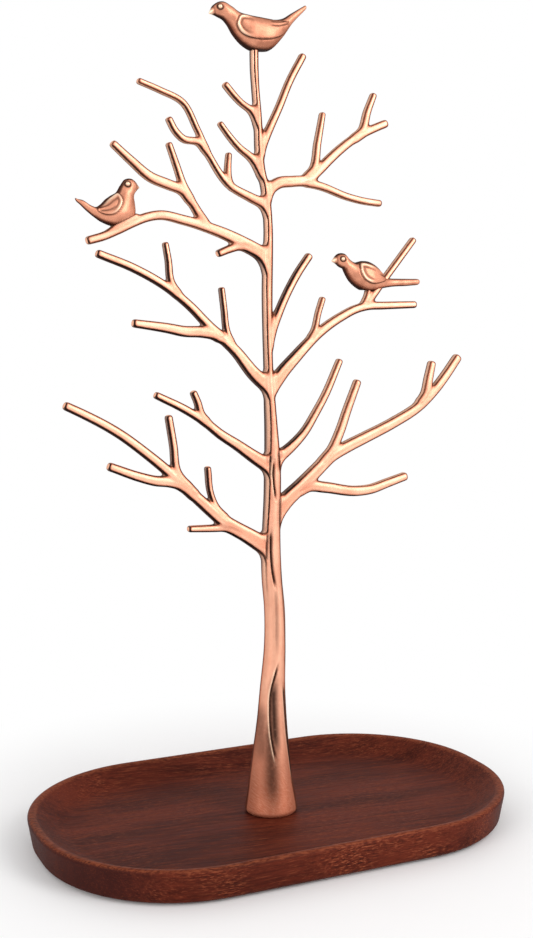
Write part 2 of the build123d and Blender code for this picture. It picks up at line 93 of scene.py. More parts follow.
# Side of the trunk, strength of the crease beside the trunk, and the twigs of each limb: points from the root
# out, and widths at the root, a fifth of the way out and at the end
LIMBS = {
    "limb_left_low": (-1, 1.0, [
        ([(0, 138.5), (-9.8, 145), (-25, 154.6), (-39.2, 166.8), (-51.2, 178), (-63.8, 188.6),
          (-77.5, 198.8), (-94.3, 208.2), (-102.8, 212.3)], (9.4, 7, 4)),
        ([(-42, 169.6), (-49.2, 180), (-50.7, 191.7), (-53.1, 206.3)], (5.1, 4.4, 3.5)),
        ([(-38.5, 166.2), (-45, 172.2), (-52.5, 174.9), (-60, 175.9), (-67.3, 178),
          (-82.8, 183.9)], (5.1, 5.2, 4.1)),
        ([(-23.5, 154), (-29.8, 162.5), (-32.3, 169), (-33.7, 181.5)], (5.3, 3.9, 3)),
        ([(-14, 148), (-24.4, 151.5), (-31.1, 151.7), (-43.9, 152.2)], (5.3, 4.5, 3.1)),
    ]),
    "limb_left_short": (-1, 1.0, [
        ([(-1, 179.5), (-10.5, 185.5), (-18.5, 191), (-26.7, 196.2), (-35.2, 202.8), (-45.2, 208.9),
          (-59.8, 216)], (7.4, 5.9, 3.4)),
        ([(-32, 200), (-36.9, 206.6), (-38.6, 212), (-40.9, 217.2)], (4.1, 3.9, 3.3)),
    ]),
    "limb_left_middle": (-1, 0.0, [
        ([(-0.5, 217.2), (-9.2, 224.2), (-19.6, 236), (-26.8, 242.3), (-34, 248.8), (-41.4, 256),
          (-52.9, 264.8), (-68.9, 273.3), (-86.7, 279.9)], (7.5, 5.6, 3.7)),
        ([(-24.5, 240.2), (-30, 243.3), (-36.5, 244.5), (-44.7, 244.8), (-52.9, 246.3),
          (-70.2, 248.7)], (5.2, 5.4, 3.9)),
        ([(-46, 259.5), (-51.3, 267.8), (-52.4, 277), (-53.9, 285.4)], (4.1, 3.7, 2.8)),
        ([(-20, 236.8), (-23.6, 245), (-24.9, 255), (-26.2, 265.3)], (4, 3.4, 2.8)),
    ]),
    "limb_left_bird": (-1, 0.0, [
        ([(-1.5, 276), (-6, 281), (-11.8, 284.2), (-23.8, 289.6), (-33, 292.6), (-45, 295.6),
          (-56.5, 297.4), (-62.8, 296.2), (-69.1, 293.7), (-76.2, 290.3), (-83.9, 287),
          (-91.2, 284.9)], (7.6, 5.9, 3.8)),
        ([(-32.5, 292), (-39, 301.1), (-45.2, 312), (-48.1, 319.8), (-51.9, 330)], (4.9, 4.3, 2.9)),
        ([(-40, 302), (-46.2, 309.2), (-52.3, 311.3), (-60.6, 314.2), (-69.3, 320.7),
          (-78.8, 328.6)], (3.6, 4.5, 3.4)),
        ([(-8, 283), (-15, 284.6), (-21.8, 283), (-28.5, 280.4)], (5, 4.5, 3.5)),
        ([(-80.5, 289.8), (-75.2, 292.6), (-70.8, 294.9), (-66.8, 296.5)], (3.0, 3.8, 3.6)),
    ]),
    "limb_left_upper": (-1, 0.0, [
        ([(-1.5, 301.5), (-5.2, 304.4), (-11, 306.9), (-22.4, 312.6), (-31.6, 324.3), (-38, 336.8),
          (-44.8, 348.1), (-55.8, 352.8), (-66.4, 356.3)], (5.2, 3.9, 2.7)),
        ([(-32, 324.6), (-37.6, 330.9), (-44.6, 331.9), (-48.8, 335.6), (-52, 341.1)], (3.4, 3.4, 3.1)),
        ([(-21, 310.8), (-22.6, 315.5), (-22.7, 320), (-22.2, 327)], (3.9, 3.6, 2.7)),
    ]),
    "twig_left_upper": (-1, 0.0, [
        ([(-5.5, 318.8), (-11.1, 325.3), (-16.9, 329.4), (-22.6, 335.1), (-27, 340.4)], (5, 4.1, 2.6)),
    ]),
    "twig_left_top": (-1, 0.0, [
        ([(-7, 342.6), (-11, 346.7), (-16.2, 350), (-19.6, 353), (-24.5, 358.1)], (5.2, 3.8, 3.1)),
    ]),
    "limb_right_low": (1, 1.0, [
        ([(0, 154.5), (7.4, 163), (14.7, 169), (19.5, 173.1), (24.4, 177.4), (31.6, 183.4),
          (40.2, 187.6), (49.8, 191.6), (67, 198.9), (81.1, 206.4), (91.1, 215.1), (96.9, 221.7),
          (104.9, 232)], (8.2, 6.9, 4.6)),
        ([(25.5, 178), (32.6, 187.2), (36.6, 195.3), (40.3, 205.1), (46.6, 220.7)], (4.9, 4.8, 3.8)),
        ([(80, 205.8), (85.5, 212.8), (87.2, 220.7), (89.2, 229.4)], (4.3, 4.8, 4)),
        ([(12, 166.4), (19.8, 169.2), (28.2, 168.2), (46.2, 165.4), (54.3, 165.9), (63, 168.3),
          (75.1, 171.7)], (5.9, 5.7, 4.3)),
    ]),
    "twig_right_low": (1, 1.0, [
        ([(-1, 180), (4.1, 184.6), (10.2, 189.2), (16.6, 195.3), (23.1, 204.8), (27.9, 212.7),
          (36.6, 231)], (6.5, 5.1, 3.2)),
    ]),
    "limb_right_bird": (1, 0.0, [
        ([(-0.5, 218), (6, 225.9), (12.1, 232.1), (18.1, 238), (23.6, 242.9), (29.2, 247), (37, 251.6),
          (45, 255.3), (51.5, 256.8), (60, 257.1), (79.3, 257.7)], (7, 5.7, 3.5)),
        ([(19.5, 238.5), (22.8, 246.5), (24.4, 253.3), (27, 261.1)], (3.9, 3.3, 2.8)),
        ([(49, 256.2), (52.6, 260.1), (59, 267.7), (77.7, 290.3)], (4.6, 3.9, 3.2)),
        ([(47.6, 256.2), (50.2, 260), (51.4, 263), (52, 265.4)], (2.9, 2.4, 2.6)),
    ]),
    "twig_right_middle": (1, 0.0, [
        ([(-2.6, 238.5), (1.8, 250), (6.8, 261), (13.5, 272.5), (20, 281.4)], (4.7, 4.3, 3.7)),
    ]),
    "limb_right_upper": (1, 0.0, [
        ([(-3.5, 308.2), (-0.5, 312), (3.1, 314.2), (10.6, 315.3), (18.6, 316.5), (24.2, 321),
          (30.2, 326.6), (36.3, 331.8), (43.9, 337.2), (55.7, 343), (61.6, 345.4)], (5.8, 5.3, 3.9)),
        ([(15.5, 315.8), (21.1, 321), (23.7, 333.8), (26.4, 348.2)], (4.2, 4, 2.8)),
        ([(41, 334.8), (47.5, 340.5), (50.6, 350.2), (54.2, 358.9)], (3.5, 3.9, 3.1)),
        ([(15, 315.4), (25.2, 313.7), (40.5, 309.1), (48.4, 307.6), (58.7, 306.6)], (4.4, 3.9, 3.3)),
    ]),
    "twig_right_top": (1, 0.0, [
        ([(-6.6, 328), (-1.8, 338.4), (3.2, 348.6), (9, 361.6), (16.2, 374.2)], (4.4, 3.9, 3.4)),
    ]),
}
# How far the skins of the trunk and a limb overlap along a root, and how far one slips under the other
OVERLAP, SLIP = 2.2, 0.09

# Each bird: chords from the face to the tail (back point, belly point, width), beak tip, eye (x, z, y),
# wing outline, feather lines on the wing, and the plane that it stands on (point, upward normal)
BIRDS = {
    "bird_top": dict(
        chords=[
            ((-30.5, 391.2), (-29.5, 387.9), 3.4), ((-28.3, 393.3), (-27.5, 387.2), 5.4),
            ((-25.2, 394.3), (-24.9, 386.2), 7.0), ((-21.2, 392.8), (-22.6, 384.0), 7.6),
            ((-17.2, 390.5), (-19.5, 379.6), 9.2), ((-12.0, 389.5), (-14.8, 375.4), 11.5),
            ((-6.0, 389.0), (-8.2, 373.0), 12.4), ((0.2, 388.5), (-1.2, 374.7), 11.0),
            ((5.0, 389.4), (4.8, 380.5), 7.6), ((9.5, 392.1), (10.0, 387.4), 4.6),
            ((16.5, 396.3), (17.1, 394.6), 1.9),
        ],
        beak=(-31.7, 388.4),
        eye=(-27.2, 391.3, 2.9),
        wing=[(-18.6, 387.4), (-19.6, 384.3), (-17.9, 381.0), (-14.6, 378.9), (-10.8, 378.2), (-6.0, 378.2),
              (-1.5, 379.1), (3.9, 381.7), (7.2, 387.0), (0.4, 387.8), (-9.7, 388.2)],
        feathers=[[(-3.4, 386.5), (1.6, 386.8), (7.0, 387.8)], [(-3.6, 384.7), (1.4, 385.0), (6.4, 386.6)]],
        stands=((0, TRUNK_TOP), (0, 1)),
    ),
    "bird_left": dict(
        chords=[
            ((-68.0, 311.8), (-66.7, 308.4), 3.6), ((-69.8, 313.0), (-67.8, 307.2), 5.4),
            ((-72.6, 312.7), (-68.5, 306.0), 6.8), ((-74.8, 310.1), (-68.7, 304.6), 7.0),
            ((-76.8, 306.9), (-68.3, 301.8), 8.4), ((-79.4, 305.3), (-68.2, 297.4), 10.2),
            ((-82.0, 303.5), (-72.0, 293.2), 11.0), ((-84.2, 301.3), (-78.4, 291.7), 9.6),
            ((-86.6, 300.0), (-83.6, 293.3), 6.8), ((-89.2, 300.9), (-87.2, 295.5), 4.8),
            ((-92.4, 302.8), (-91.0, 298.4), 3.6), ((-95.2, 303.4), (-94.5, 301.5), 2.2),
        ],
        beak=(-65.9, 309.3),
        eye=(-72.3, 310.4, 3.1),
        wing=[(-76.4, 306), (-75.2, 303.2), (-76.4, 299.7), (-79.5, 296.8), (-83.4, 296.6), (-86.4, 298.6),
              (-83.7, 301.2), (-80.2, 304.2)],
        feathers=[[(-79.0, 303.2), (-81.6, 300.8), (-85.2, 299.4)],
                  [(-78.4, 300.6), (-80.8, 298.8), (-84.8, 298.0)]],
        stands=((-76.4, 293.3), (-0.448, 0.894)),
    ),
    "bird_right": dict(
        chords=[
            ((33.4, 280.6), (33.6, 277.2), 3.4), ((35.2, 282.0), (35.8, 275.6), 5.6),
            ((38.2, 282.1), (38.0, 274.6), 6.8), ((41.0, 279.6), (39.3, 272.2), 7.2),
            ((43.8, 278.0), (41.6, 268.8), 8.8), ((48.0, 278.7), (45.8, 265.4), 11.2),
            ((52.4, 278.2), (51.4, 263.6), 12.0), ((57.0, 275.4), (56.5, 264.6), 9.8),
            ((60.6, 271.4), (60.2, 265.6), 6.8), ((64.0, 270.5), (63.8, 266.2), 5.2),
            ((68.0, 270.4), (67.9, 266.6), 4.6), ((73.0, 270.4), (73.0, 266.8), 4.0),
            ((76.5, 270.4), (76.5, 267.1), 3.6), ((79.6, 270.4), (79.6, 267.4), 3.1),
        ],
        beak=(31.6, 278.3),
        eye=(36.5, 279.4, 2.9),
        wing=[(45.6, 277), (45.2, 273.1), (46.8, 270.2), (50.5, 268), (56, 268.2), (60, 269.8), (57, 273.6),
              (51.5, 276.6)],
        feathers=[[(55.0, 272.4), (57.6, 271.4), (60.4, 270.2)]],
        stands=((50, 264.6), (0, 1)),
    ),
}

# How squarely the twigs are cut off at their ends, and the least rounding of their fronts, millimetres
END_SQUARE, LEAST_ROUND = 2.7, 0.35
# How far from the trunk's middle a limb starts, and how far inside the trunk's edge, how wide and how deep
# the crease beside it is, millimetres
ROOT_START, CREASE_INSET, CREASE_WIDTH, CREASE_DEPTH = 0.8, 1.0, 0.55, 0.9
# Height of the chased lips, half width from which a chased line is a broad hollow, and rounding of the foot's
# lower edge, millimetres
LIP_HEIGHT, BROAD, FOOT_ROUND = 0.15, 1.5, 2.6
# Reach of the grids that the trunk and the limbs are cut from, millimetres
TRUNK_LEFT, TRUNK_RIGHT, TRUNK_DEPTH = -14.6, 13.8, 14.0
LIMB_DEPTH, MARGIN, MARGIN_BELOW = 4.6, 6, 8

# Sections from the beak's tip to the face: share of the way, and shares of the face's height and width
BEAK_ROWS = ((0.0, 0.03, 0.03), (0.06, 0.14, 0.13), (0.4, 0.42, 0.4), (0.72, 0.74, 0.7))
# Where the beak meets the head, millimetres from its tip
BEAK_LENGTH = 2.5
# Sections of the rounded tail, in shares of its half width past the last chord
TAIL_ROWS = (0.3, 0.6, 0.85, 0.97, 1.0)
# Height of the wing's crest, depth of its grooves at their darkest and of the eye's ring, and the gap between
# a bird and what it stands on, millimetres
CREST_HEIGHT, WING_CUT, EYE_CUT, STAND_GAP = 0.3, 0.28, 0.22, 0.02

# Scales of slow tone drifts and of specks, and the distance in metres over which surfaces crowd each other
# and get painted shade
DRIFT, SPECK, CROWDED = 95.0, 620.0, 0.003
# Scales of the brushing along, inwards and in depth, and of the scratches on both diagonals and in depth
BRUSHED, CROSSED = (0.22, 5.5, 4200.0), (4600.0, 420.0, 160.0)
# Tones that the node groups take, with their defaults
BAND_INPUTS = {
    "Face": (0.9, 0.65, 0.4), "Warm": (0.7, 0.35, 0.2), "Foot": (0.5, 0.2, 0.1), "Line": (0.2, 0.05, 0.02),
    "Side": (0.6, 0.4, 0.3), "Dark": (0.03, 0.01, 0.01), "Lip": (0.9, 0.7, 0.5),
}
CAST_INPUTS = {"Color": (0.9, 0.65, 0.4), "Lip": (0.9, 0.7, 0.5), "Dark": (0.03, 0.01, 0.01)}
# Heights in metres from which the scratched foot and the round lower trunk fade out, and over how much
FOOT_TOP, FOOT_FADE, ROUND_TOP, ROUND_FADE = 0.018, 0.06, 0.118, 0.035
# X over which the edge lines turn lighter with painted light on the right half, and heights over which they
# turn lighter on the high limbs, metres
LIT_RIGHT, LIGHTER_HIGH = (0.008, 0.026), (0.276, 0.292)
# Heights of the painted highlight along the dish's crest, and distances over which the floor runs out into
# white, metres
RIM_HIGHLIGHT, FLOOR_FADE = (0.0155, 0.0167), (0.1, 0.23)
COPPER_METALLIC, COPPER_TINT, WOOD_SPECULAR, WHITE = 0.72, (0.4, 0.22, 0.16), 0.06, (1, 1, 1)
# Strength and depth in metres of the fine relief
COPPER_RELIEF, WOOD_RELIEF, STOCK_RELIEF = (0.35, 0.00012), (0.25, 0.00015), (0.3, 0.00005)
# Plain materials: name, colour, metallic share, roughness and scale of the grain, and the nodes made of them
STOCKS = {
    ("Fixing steel", (0.48, 0.48, 0.5), 1.0, 0.32, 2400.0): ("foot_screw", "foot_washer", "locating_pin"),
    ("Pad rubber", (0.035, 0.034, 0.033), 0.0, 0.72, 1800.0): ("pads",),
}

# Soft lamps with their places and sizes, what they shine at, and the floor's half width and depth, metres
LAMPS = {
    "key": ((0.75, -1.15, 1.15), 0.9),
    "front": ((0.7, -1.25, 0.42), 0.6),
    "fill": ((-1.25, -0.6, 0.55), 0.8),
}
LAMP_TARGET, FLOOR_REACH, FLOOR_GAP = (0, 0, 0.17), 12.0, 0.0001
CAMERA_SPOT, CAMERA_TARGET = (-0.2637, -0.5708, 0.2506), (0, 0, 0.17708)


def paint(red, green, blue):
    """A colour written in screen values from 0 to 255, as the shaders use it."""
    return tuple(
        (c / 255 / 12.92) if c <= 10 else ((c / 255 + 0.055) / 1.055) ** 2.4 for c in (red, green, blue)
    )


def tint(name, description, colour):
    """A colour property with its default."""
    return FloatVectorProperty(
        name=name, description=description, default=colour, subtype="COLOR", size=3, min=0, max=1
    )


def number(name, description, default, **limits):
    """A number property with its default."""
    return FloatProperty(name=name, description=description, default=default, **limits)


# ---- Settings ----


class CastingSettings(PropertyGroup):
    limb_step: number("Limb mesh step", "Grid step of the limbs' meshes, mm", 0.42, min=0.2, max=1.5)
    trunk_step: number("Trunk mesh step", "Grid step of the trunk's mesh, mm", 0.36, min=0.2, max=1.5)
    edge_round: number("Edge rounding", "How far the fronts round over at most, mm", 2.2, min=0.3, max=4)
    across: number("Squareness across", "2 gives crowned fronts, higher flatter ones", 2.2, min=2, max=6)
    deepways: number("Squareness in depth", "2 gives round sides, higher flatter ones", 3.2, min=2, max=6)
    tip_depth: number("Least half depth", "Half depth of a twig of no width, mm", 1.5, min=0.5, max=4)
    depth_gain: number("Depth gain", "Growth of the half depth with the half width", 0.42, min=0, max=1)
    web: number("Crotch web", "Reach of the webs where twigs fork, mm", 2.0, min=0.1, max=8)
    root_web: number("Root web", "Reach of the webs where limbs run into the trunk, mm", 3.2, min=0.1, max=8)


class BirdSettings(PropertyGroup):
    ring_points: IntProperty(
        name="Ring points", description="Points round a bird's body", default=120, min=16, max=400
    )
    ring_step: number("Ring step", "Distance between rings along the body, mm", 0.3, min=0.1, max=2)
    wing_lift: number("Wing lift", "How far the wings stand proud, mm", 0.55, min=0, max=2)
    feather_depth: number("Feather depth", "Depth of the feather lines, mm", 0.32, min=0, max=1)
    eye_radius: number("Eye bead", "Radius of the eye bead, mm", 1.0, min=0.2, max=2)
    plumage: tint("Plumage", "Copper of the birds' flanks", paint(222, 152, 122))
    shaded: tint("Shaded plumage", "Deeper copper where the birds' bodies turn away", paint(136, 78, 58))


class FinishSettings(PropertyGroup):
    face: tint("Face", "Worn bright fronts of the casting", paint(246, 190, 160))
    # Warm is also the painted half shade where the fronts turn towards their edges and the lower trunk turns
    # away
    warm: tint("Warm face", "Deeper copper where the fronts turn away", paint(208, 132, 104))
    foot: tint("Foot", "Redder copper of the foot", paint(194, 112, 82))
    # Lip also gives the painted light on the trunk's sides and on the lighter edge lines
    lip: tint("Lip", "Bright rubbed lips and crests", paint(255, 218, 188))
    # Edge line, side and dark are the tones of painted shade and reflection on edges, sides and undersides;
    # dark is also the patina in hollows
    line: tint("Edge line", "Brown line along the edges of the fronts", paint(108, 60, 42))
    side: tint("Side", "Greyish brown sides", paint(150, 126, 116))
    dark: tint("Dark patina", "Dark patina of undersides and hollows", paint(40, 25, 21))


class DishSettings(PropertyGroup):
    ground: tint("Ground", "Dark ground of the wood", paint(55, 16, 9))
    grain: tint("Grain", "Redder streaks of the grain", paint(92, 36, 22))
    fleck: tint("Flecks", "Pale flecks in the grain", paint(152, 82, 54))
    pore: tint("Pores", "Dark pores in the grain", paint(36, 15, 12))
    ends: tint("End grain", "Plum tone of the end grain", paint(54, 22, 19))


class StageSettings(PropertyGroup):
    floor: tint("Floor", "Colour of the plain floor", (0.93, 0.92, 0.92))
    key_power: number("Key light", "Power of the large soft key light, W", 8, min=0)
    front_power: number("Front light", "Power of the soft light from in front, W", 6, min=0)
    fill_power: number("Fill light", "Power of the soft light from the left, W", 6.5, min=0)
    sky: number("Room light", "Strength of the even room light", 0.7, min=0)


# ---- Shapes ----


def along(table, at):
    """Smooth values of a table at places of its rising first column."""
    table = np.asarray(table, float)
    key, values = table[:, 0], table[:, 1:]
    slope = np.gradient(values, key, axis=0)
    at = np.clip(at, key[0], key[-1])
    i = np.clip(np.searchsorted(key, at, side="right") - 1, 0, len(key) - 2)
    gap = (key[i + 1] - key[i])[..., None]
    t = (at - key[i])[..., None] / gap
    return (
        values[i] * (1 + 2 * t) * (1 - t) ** 2 + slope[i] * gap * t * (1 - t) ** 2
        + values[i + 1] * t * t * (3 - 2 * t) - slope[i + 1] * gap * t * t * (1 - t)
    )


def lengths(points):
    """Running length along points, by their first two columns."""
    return np.concatenate([[0], np.cumsum(np.linalg.norm(np.diff(points[:, :2], axis=0), axis=1))])


def follow(points, at):
    """Smooth rows between points, at running lengths along them."""
    return along(np.column_stack([lengths(points), points]), at)


def evenly(points, spacing, least):
    """Running lengths at even steps along points."""
    length = lengths(points)[-1]
    return np.linspace(0, length, max(int(length / spacing), least))


def ease(value):
    """Smooth step from 0 to 1."""
    value = np.clip(value, 0, 1)
    return value * value * (3 - 2 * value)


def ridge(value, middle, reach):
    """1 at a middle value, easing out to 0 at its reach on both sides."""
    return ease(1 - np.abs(value - middle) / reach)


def near(path, half, x, z, squared=False):
    """Distance of points in the tree's plane to a tapered line, its own half width and the run there, and how
    far past its end they lie; a squared line is cut off almost straight at its end."""
    run = lengths(path)
    best = np.full(x.shape, 1e3)
    width, place, past = np.zeros((3, *x.shape))
    for i in range(len(path) - 1):
        a, d = path[i], path[i + 1] - path[i]
        share = np.clip(((x - a[0]) * d[0] + (z - a[1]) * d[1]) / (d @ d), 0, 1)
        r = half[i] + (half[i + 1] - half[i]) * share
        off = np.hypot(x - a[0] - d[0] * share, z - a[1] - d[1] * share)
        at_end = squared and i == len(path) - 2
        if at_end:
            size = math.hypot(*d)
            beyond_x, beyond_z = x - path[-1][0], z - path[-1][1]
            ahead = np.clip((beyond_x * d[0] + beyond_z * d[1]) / size, 0, None)
            beside = np.abs(beyond_x * d[1] - beyond_z * d[0]) / size
            off = np.where(ahead > 0, (ahead ** END_SQUARE + beside ** END_SQUARE) ** (1 / END_SQUARE), off)
        closer = off - r < best
        best = np.where(closer, off - r, best)
        width = np.where(closer, r, width)
        place = np.where(closer, run[i] + (run[i + 1] - run[i]) * share, place)
        if at_end:
            past = np.where(closer, ahead / r, 0)
    return best, width, place, past


def line_to(points, x, z, at):
    """Distance of points in the tree's plane to a thin smooth line, and the run there."""
    gap, _, run, _ = near(follow(points, at), np.zeros(len(at)), x, z)
    return gap, run


def twig_line(points, widths, side_twig):
    """The middle line and half widths of a tapered twig."""
    path = np.array(points, float)
    last = path[-1] - path[-2]
    path[-1] -= last / np.linalg.norm(last) * widths[-1] / 2
    at = evenly(path, 1.3, 8)
    half = along(np.column_stack([(0, 0.2, 1), np.array(widths) / 2]), at / at[-1])[:, 0]
    if side_twig:
        # Thin where it starts, inside its parent
        half = half * (0.12 + 0.88 * ease(at / 4.5))
    return follow(path, at), half


def melt(a, b, reach):
    """Soft union of two distances, with the share of the first and how much both take part."""
    share = np.clip(0.5 + 0.5 * (b - a) / reach, 0, 1)
    both = share * (1 - share)
    return b + (a - b) * share - reach * both, share, 4 * both


def trunk_plane(x, z):
    """The trunk in the tree's plane: distance, rounding, half depth, squareness and marks."""
    middle, width, depth = np.moveaxis(along(TRUNK, z), -1, 0)
    rounded, across, deepways = np.moveaxis(along(TRUNK_SECTION, z), -1, 0)
    half = width / 2
    nothing = np.zeros(x.shape)
    return dict(gap=np.abs(x - middle) - half, edge=half * rounded, deep=depth / 2, across=across,
                deepways=deepways, run=z * 1.0, web=nothing, hollow=nothing, lip=nothing, tip=nothing,
                stem=nothing + 1)


def limb_plane(name, x, z, casting):
    """A limb with its twigs in the tree's plane."""
    made = None
    for points, widths in LIMBS[name][2]:
        path, half = twig_line(points, widths, made is not None)
        gap, r, run, past = near(path, half, x, z, squared=True)
        deep = casting.tip_depth + casting.depth_gain * r
        edge = np.minimum(casting.edge_round, r)
        if made is None:
            made = dict(gap=gap, edge=edge, deep=deep, run=run, tip=past, web=np.zeros(x.shape))
            continue
        blended, share, both = melt(made["gap"], gap, casting.web)
        made = dict(
            gap=blended,
            edge=edge + (made["edge"] - edge) * share,
            deep=deep + (made["deep"] - deep) * share,
            run=np.where(share > 0.5, made["run"], run),
            tip=np.where(share > 0.5, made["tip"], past),
            web=np.maximum(made["web"], both * (np.maximum(made["gap"], gap) > -1.5)),
        )
    made["edge"] = np.maximum(made["edge"], LEAST_ROUND)
    made["across"] = np.full(x.shape, casting.across)
    made["deepways"] = np.full(x.shape, casting.deepways)
    made["hollow"] = made["lip"] = made["stem"] = np.zeros(x.shape)
    return made


def joined(name, limb, trunk, middle, x, reach):
    """A limb run into the trunk on its own side, with a carved crease beside the trunk's front that is
    darkened with painted shade.
    """
    side, crease, _ = LIMBS[name]
    out = side * (x - middle)
    own = np.maximum(limb["gap"], ROOT_START - out)
    gap, share, both = melt(own, trunk["gap"], reach)
    made = {key: trunk[key] + (limb[key] - trunk[key]) * share
            for key in ("edge", "deep", "across", "deepways", "stem", "tip")}
    # The crease is carved and marked dark, painted shade that carries the trunk's edge line across the root
    crease = crease * np.exp(-((trunk["gap"] + CREASE_INSET) / CREASE_WIDTH) ** 2)
    crease = crease * ease(1 - own / 1.6) * ease(out / ROOT_START)
    made["deep"] = made["deep"] - CREASE_DEPTH * crease
    made.update(gap=gap, run=np.where(share > 0.5, limb["run"], trunk["run"]),
                web=np.maximum(np.maximum(limb["web"], trunk["web"]), both * (gap > -1.2)),
                hollow=np.maximum(trunk["hollow"], crease), lip=trunk["lip"])
    return made


def chased(shape, x, z):
    """Carve the trunk's lines and valleys into its half depth and mark them dark: patina in the lines,
    painted shade and reflection in the broad hollows.
    """
    for points, depth, reach, shade, lip in TRUNK_LINES:
        points = np.array(points, float)
        at = evenly(points, 1.2, 6)
        gap, run = line_to(points, x, z, at)
        if reach > BROAD:
            # A broad hollow, a shallow dip darkened with painted shade and reflection, fades in over its
            # upper quarter and out over its lower third
            fade = ease(run / (0.25 * at[-1])) * ease((at[-1] - run) / (0.35 * at[-1]))
            bed, patina_and_shade = np.exp(-(gap / (0.6 * reach)) ** 2), np.exp(-(gap / (0.55 * reach)) ** 2)
        else:
            fade = ease(run / 5) * ease((at[-1] - run) / 5) * 0.9 + 0.1
            bed, patina_and_shade = ease(1 - gap / reach), ease(1.25 - gap / reach)
        shape["deep"] = shape["deep"] - depth * fade * bed
        shape["hollow"] = np.maximum(shape["hollow"], shade * fade * patina_and_shade)
        if lip and reach <= BROAD:
            line = follow(points, at)
            left = x < np.interp(z, line[::-1, 1], line[::-1, 0])
            crest = lip * fade * left * ridge(gap, reach + 0.2, 0.5)
            shape["lip"] = np.maximum(shape["lip"], crest)
            shape["deep"] = shape["deep"] + LIP_HEIGHT * shape["lip"]
    return shape


def through(plane):
    """A plane grid's values, ready to be repeated at every depth."""
    return plane[:, None, :]


def thick(shape, y):
    """Value of the cast solid over the grid at depths y: below zero inside, millimetres near its skin."""
    out = (np.clip(shape["gap"] + shape["edge"], 0, None) / shape["edge"]) ** shape["across"]
    square = through(shape["deepways"])
    deep = (np.abs(y)[None, :, None] / through(shape["deep"])) ** square
    value = (through(out) + deep) ** (1 / square) - 1
    return value * through(np.minimum(shape["edge"], shape["deep"]))


CORNERS = [(i, j, k) for i in (0, 1) for j in (0, 1) for k in (0, 1)]


def skin(value, low, step):
    """Quads over the zero level of a grid of values, one point in every cell that it crosses."""
    solid = value < 0
    size = tuple(n - 1 for n in value.shape)
    count = np.zeros(size, np.int8)
    for i, j, k in CORNERS:
        count += solid[i:i + size[0], j:j + size[1], k:k + size[2]]
    active = (count > 0) & (count < len(CORNERS))
    cell = np.argwhere(active)
    index = np.full(size, -1, np.int64)
    index[active] = np.arange(len(cell))
    total, hits = np.zeros((len(cell), 3)), np.zeros(len(cell))
    for a in CORNERS:
        for axis in range(3):
            if a[axis]:
                continue
            b = tuple(1 if n == axis else a[n] for n in range(3))
            va = value[tuple((cell + a).T)]
            vb = value[tuple((cell + b).T)]
            crossed = (va < 0) != (vb < 0)
            share = np.where(crossed, va / np.where(crossed, va - vb, 1), 0)
            spot = np.array(a, float) + share[:, None] * (np.array(b) - np.array(a))
            total += spot * crossed[:, None]
            hits += crossed
    points = (cell + total / hits[:, None]) * step + np.array(low)
    faces = []
    for axis in range(3):
        u, v = [n for n in range(3) if n != axis]
        first = [slice(1, -1)] * 3
        second = [slice(1, -1)] * 3
        first[axis], second[axis] = slice(0, -1), slice(1, None)
        a, b = solid[tuple(first)], solid[tuple(second)]
        for turned, crossed in ((axis == 1, a & ~b), (axis != 1, b & ~a)):
            around = []
            for du, dv in ((0, 0), (1, 0), (1, 1), (0, 1)):
                at = np.argwhere(crossed)
                at[:, u] += du
                at[:, v] += dv
                around.append(index[tuple(at.T)])
            quad = np.stack(around, axis=1)
            faces.append(quad[:, ::-1] if turned else quad)
    return points, np.concatenate(faces)


def sampled(grid, low, step, x, z):
    """Values of a plane grid between its points."""
    fx, fz = (x - low[0]) / step, (z - low[2]) / step
    i = np.clip(fx.astype(int), 0, grid.shape[0] - 2)
    k = np.clip(fz.astype(int), 0, grid.shape[1] - 2)
    tx, tz = fx - i, fz - k
    return (
        grid[i, k] * (1 - tx) * (1 - tz) + grid[i + 1, k] * tx * (1 - tz)
        + grid[i, k + 1] * (1 - tx) * tz + grid[i + 1, k + 1] * tx * tz
    )


def make_mesh(name, points, faces, marks):
    """A smooth-shaded piece in metres with its marks stored on its points."""
    mesh = bpy.data.meshes.new(name)
    mesh.from_pydata((points * MM).tolist(), [], faces.tolist())
    for mark, values in marks.items():
        stored = mesh.attributes.new(mark, "FLOAT", "POINT").data
        stored.foreach_set("value", np.asarray(values, np.float32))
    mesh.polygons.foreach_set("use_smooth", [True] * len(mesh.polygons))
    mesh.update()
    piece = bpy.data.objects.new(name, mesh)
    bpy.context.scene.collection.objects.link(piece)
    return piece


def dress(piece, node, material):
    """Give a piece its finish, its body and the node that it stands for."""
    piece.data.materials.append(material)
    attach(piece, "root")
    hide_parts(node)


def grid_lines(low, high, step):
    """The plane grid of X and Z between two corners, and the depths Y."""
    x, y, z = (np.arange(start, end + step, step) for start, end in zip(low, high))
    return *np.meshgrid(x, z, indexing="ij"), y


def cast(context, node, shape, value, low, step):
    """Make a piece of the tree from its grid of values, with what the finish reads from its points."""
    points, faces = skin(value, low, step)
    x, z = points[:, 0], points[:, 2]
    marks = {key: sampled(shape[key], low, step, x, z)
             for key in ("run", "web", "hollow", "lip", "tip", "stem")}
    marks["inset"] = -sampled(shape["gap"], low, step, x, z)
    marks["ahead"] = -points[:, 1] / sampled(shape["deep"], low, step, x, z)
    # Which way the nearest edge lies in the tree's plane
    for mark, slope in zip(("edge_x", "edge_z"), np.gradient(shape["gap"], step)):
        marks[mark] = np.clip(sampled(slope, low, step, x, z), -1, 1)
    piece = make_mesh(node + "_casting", points, faces, marks)
    dress(piece, node, tree_copper(context.scene.rack_finish))


# ---- Finishes ----


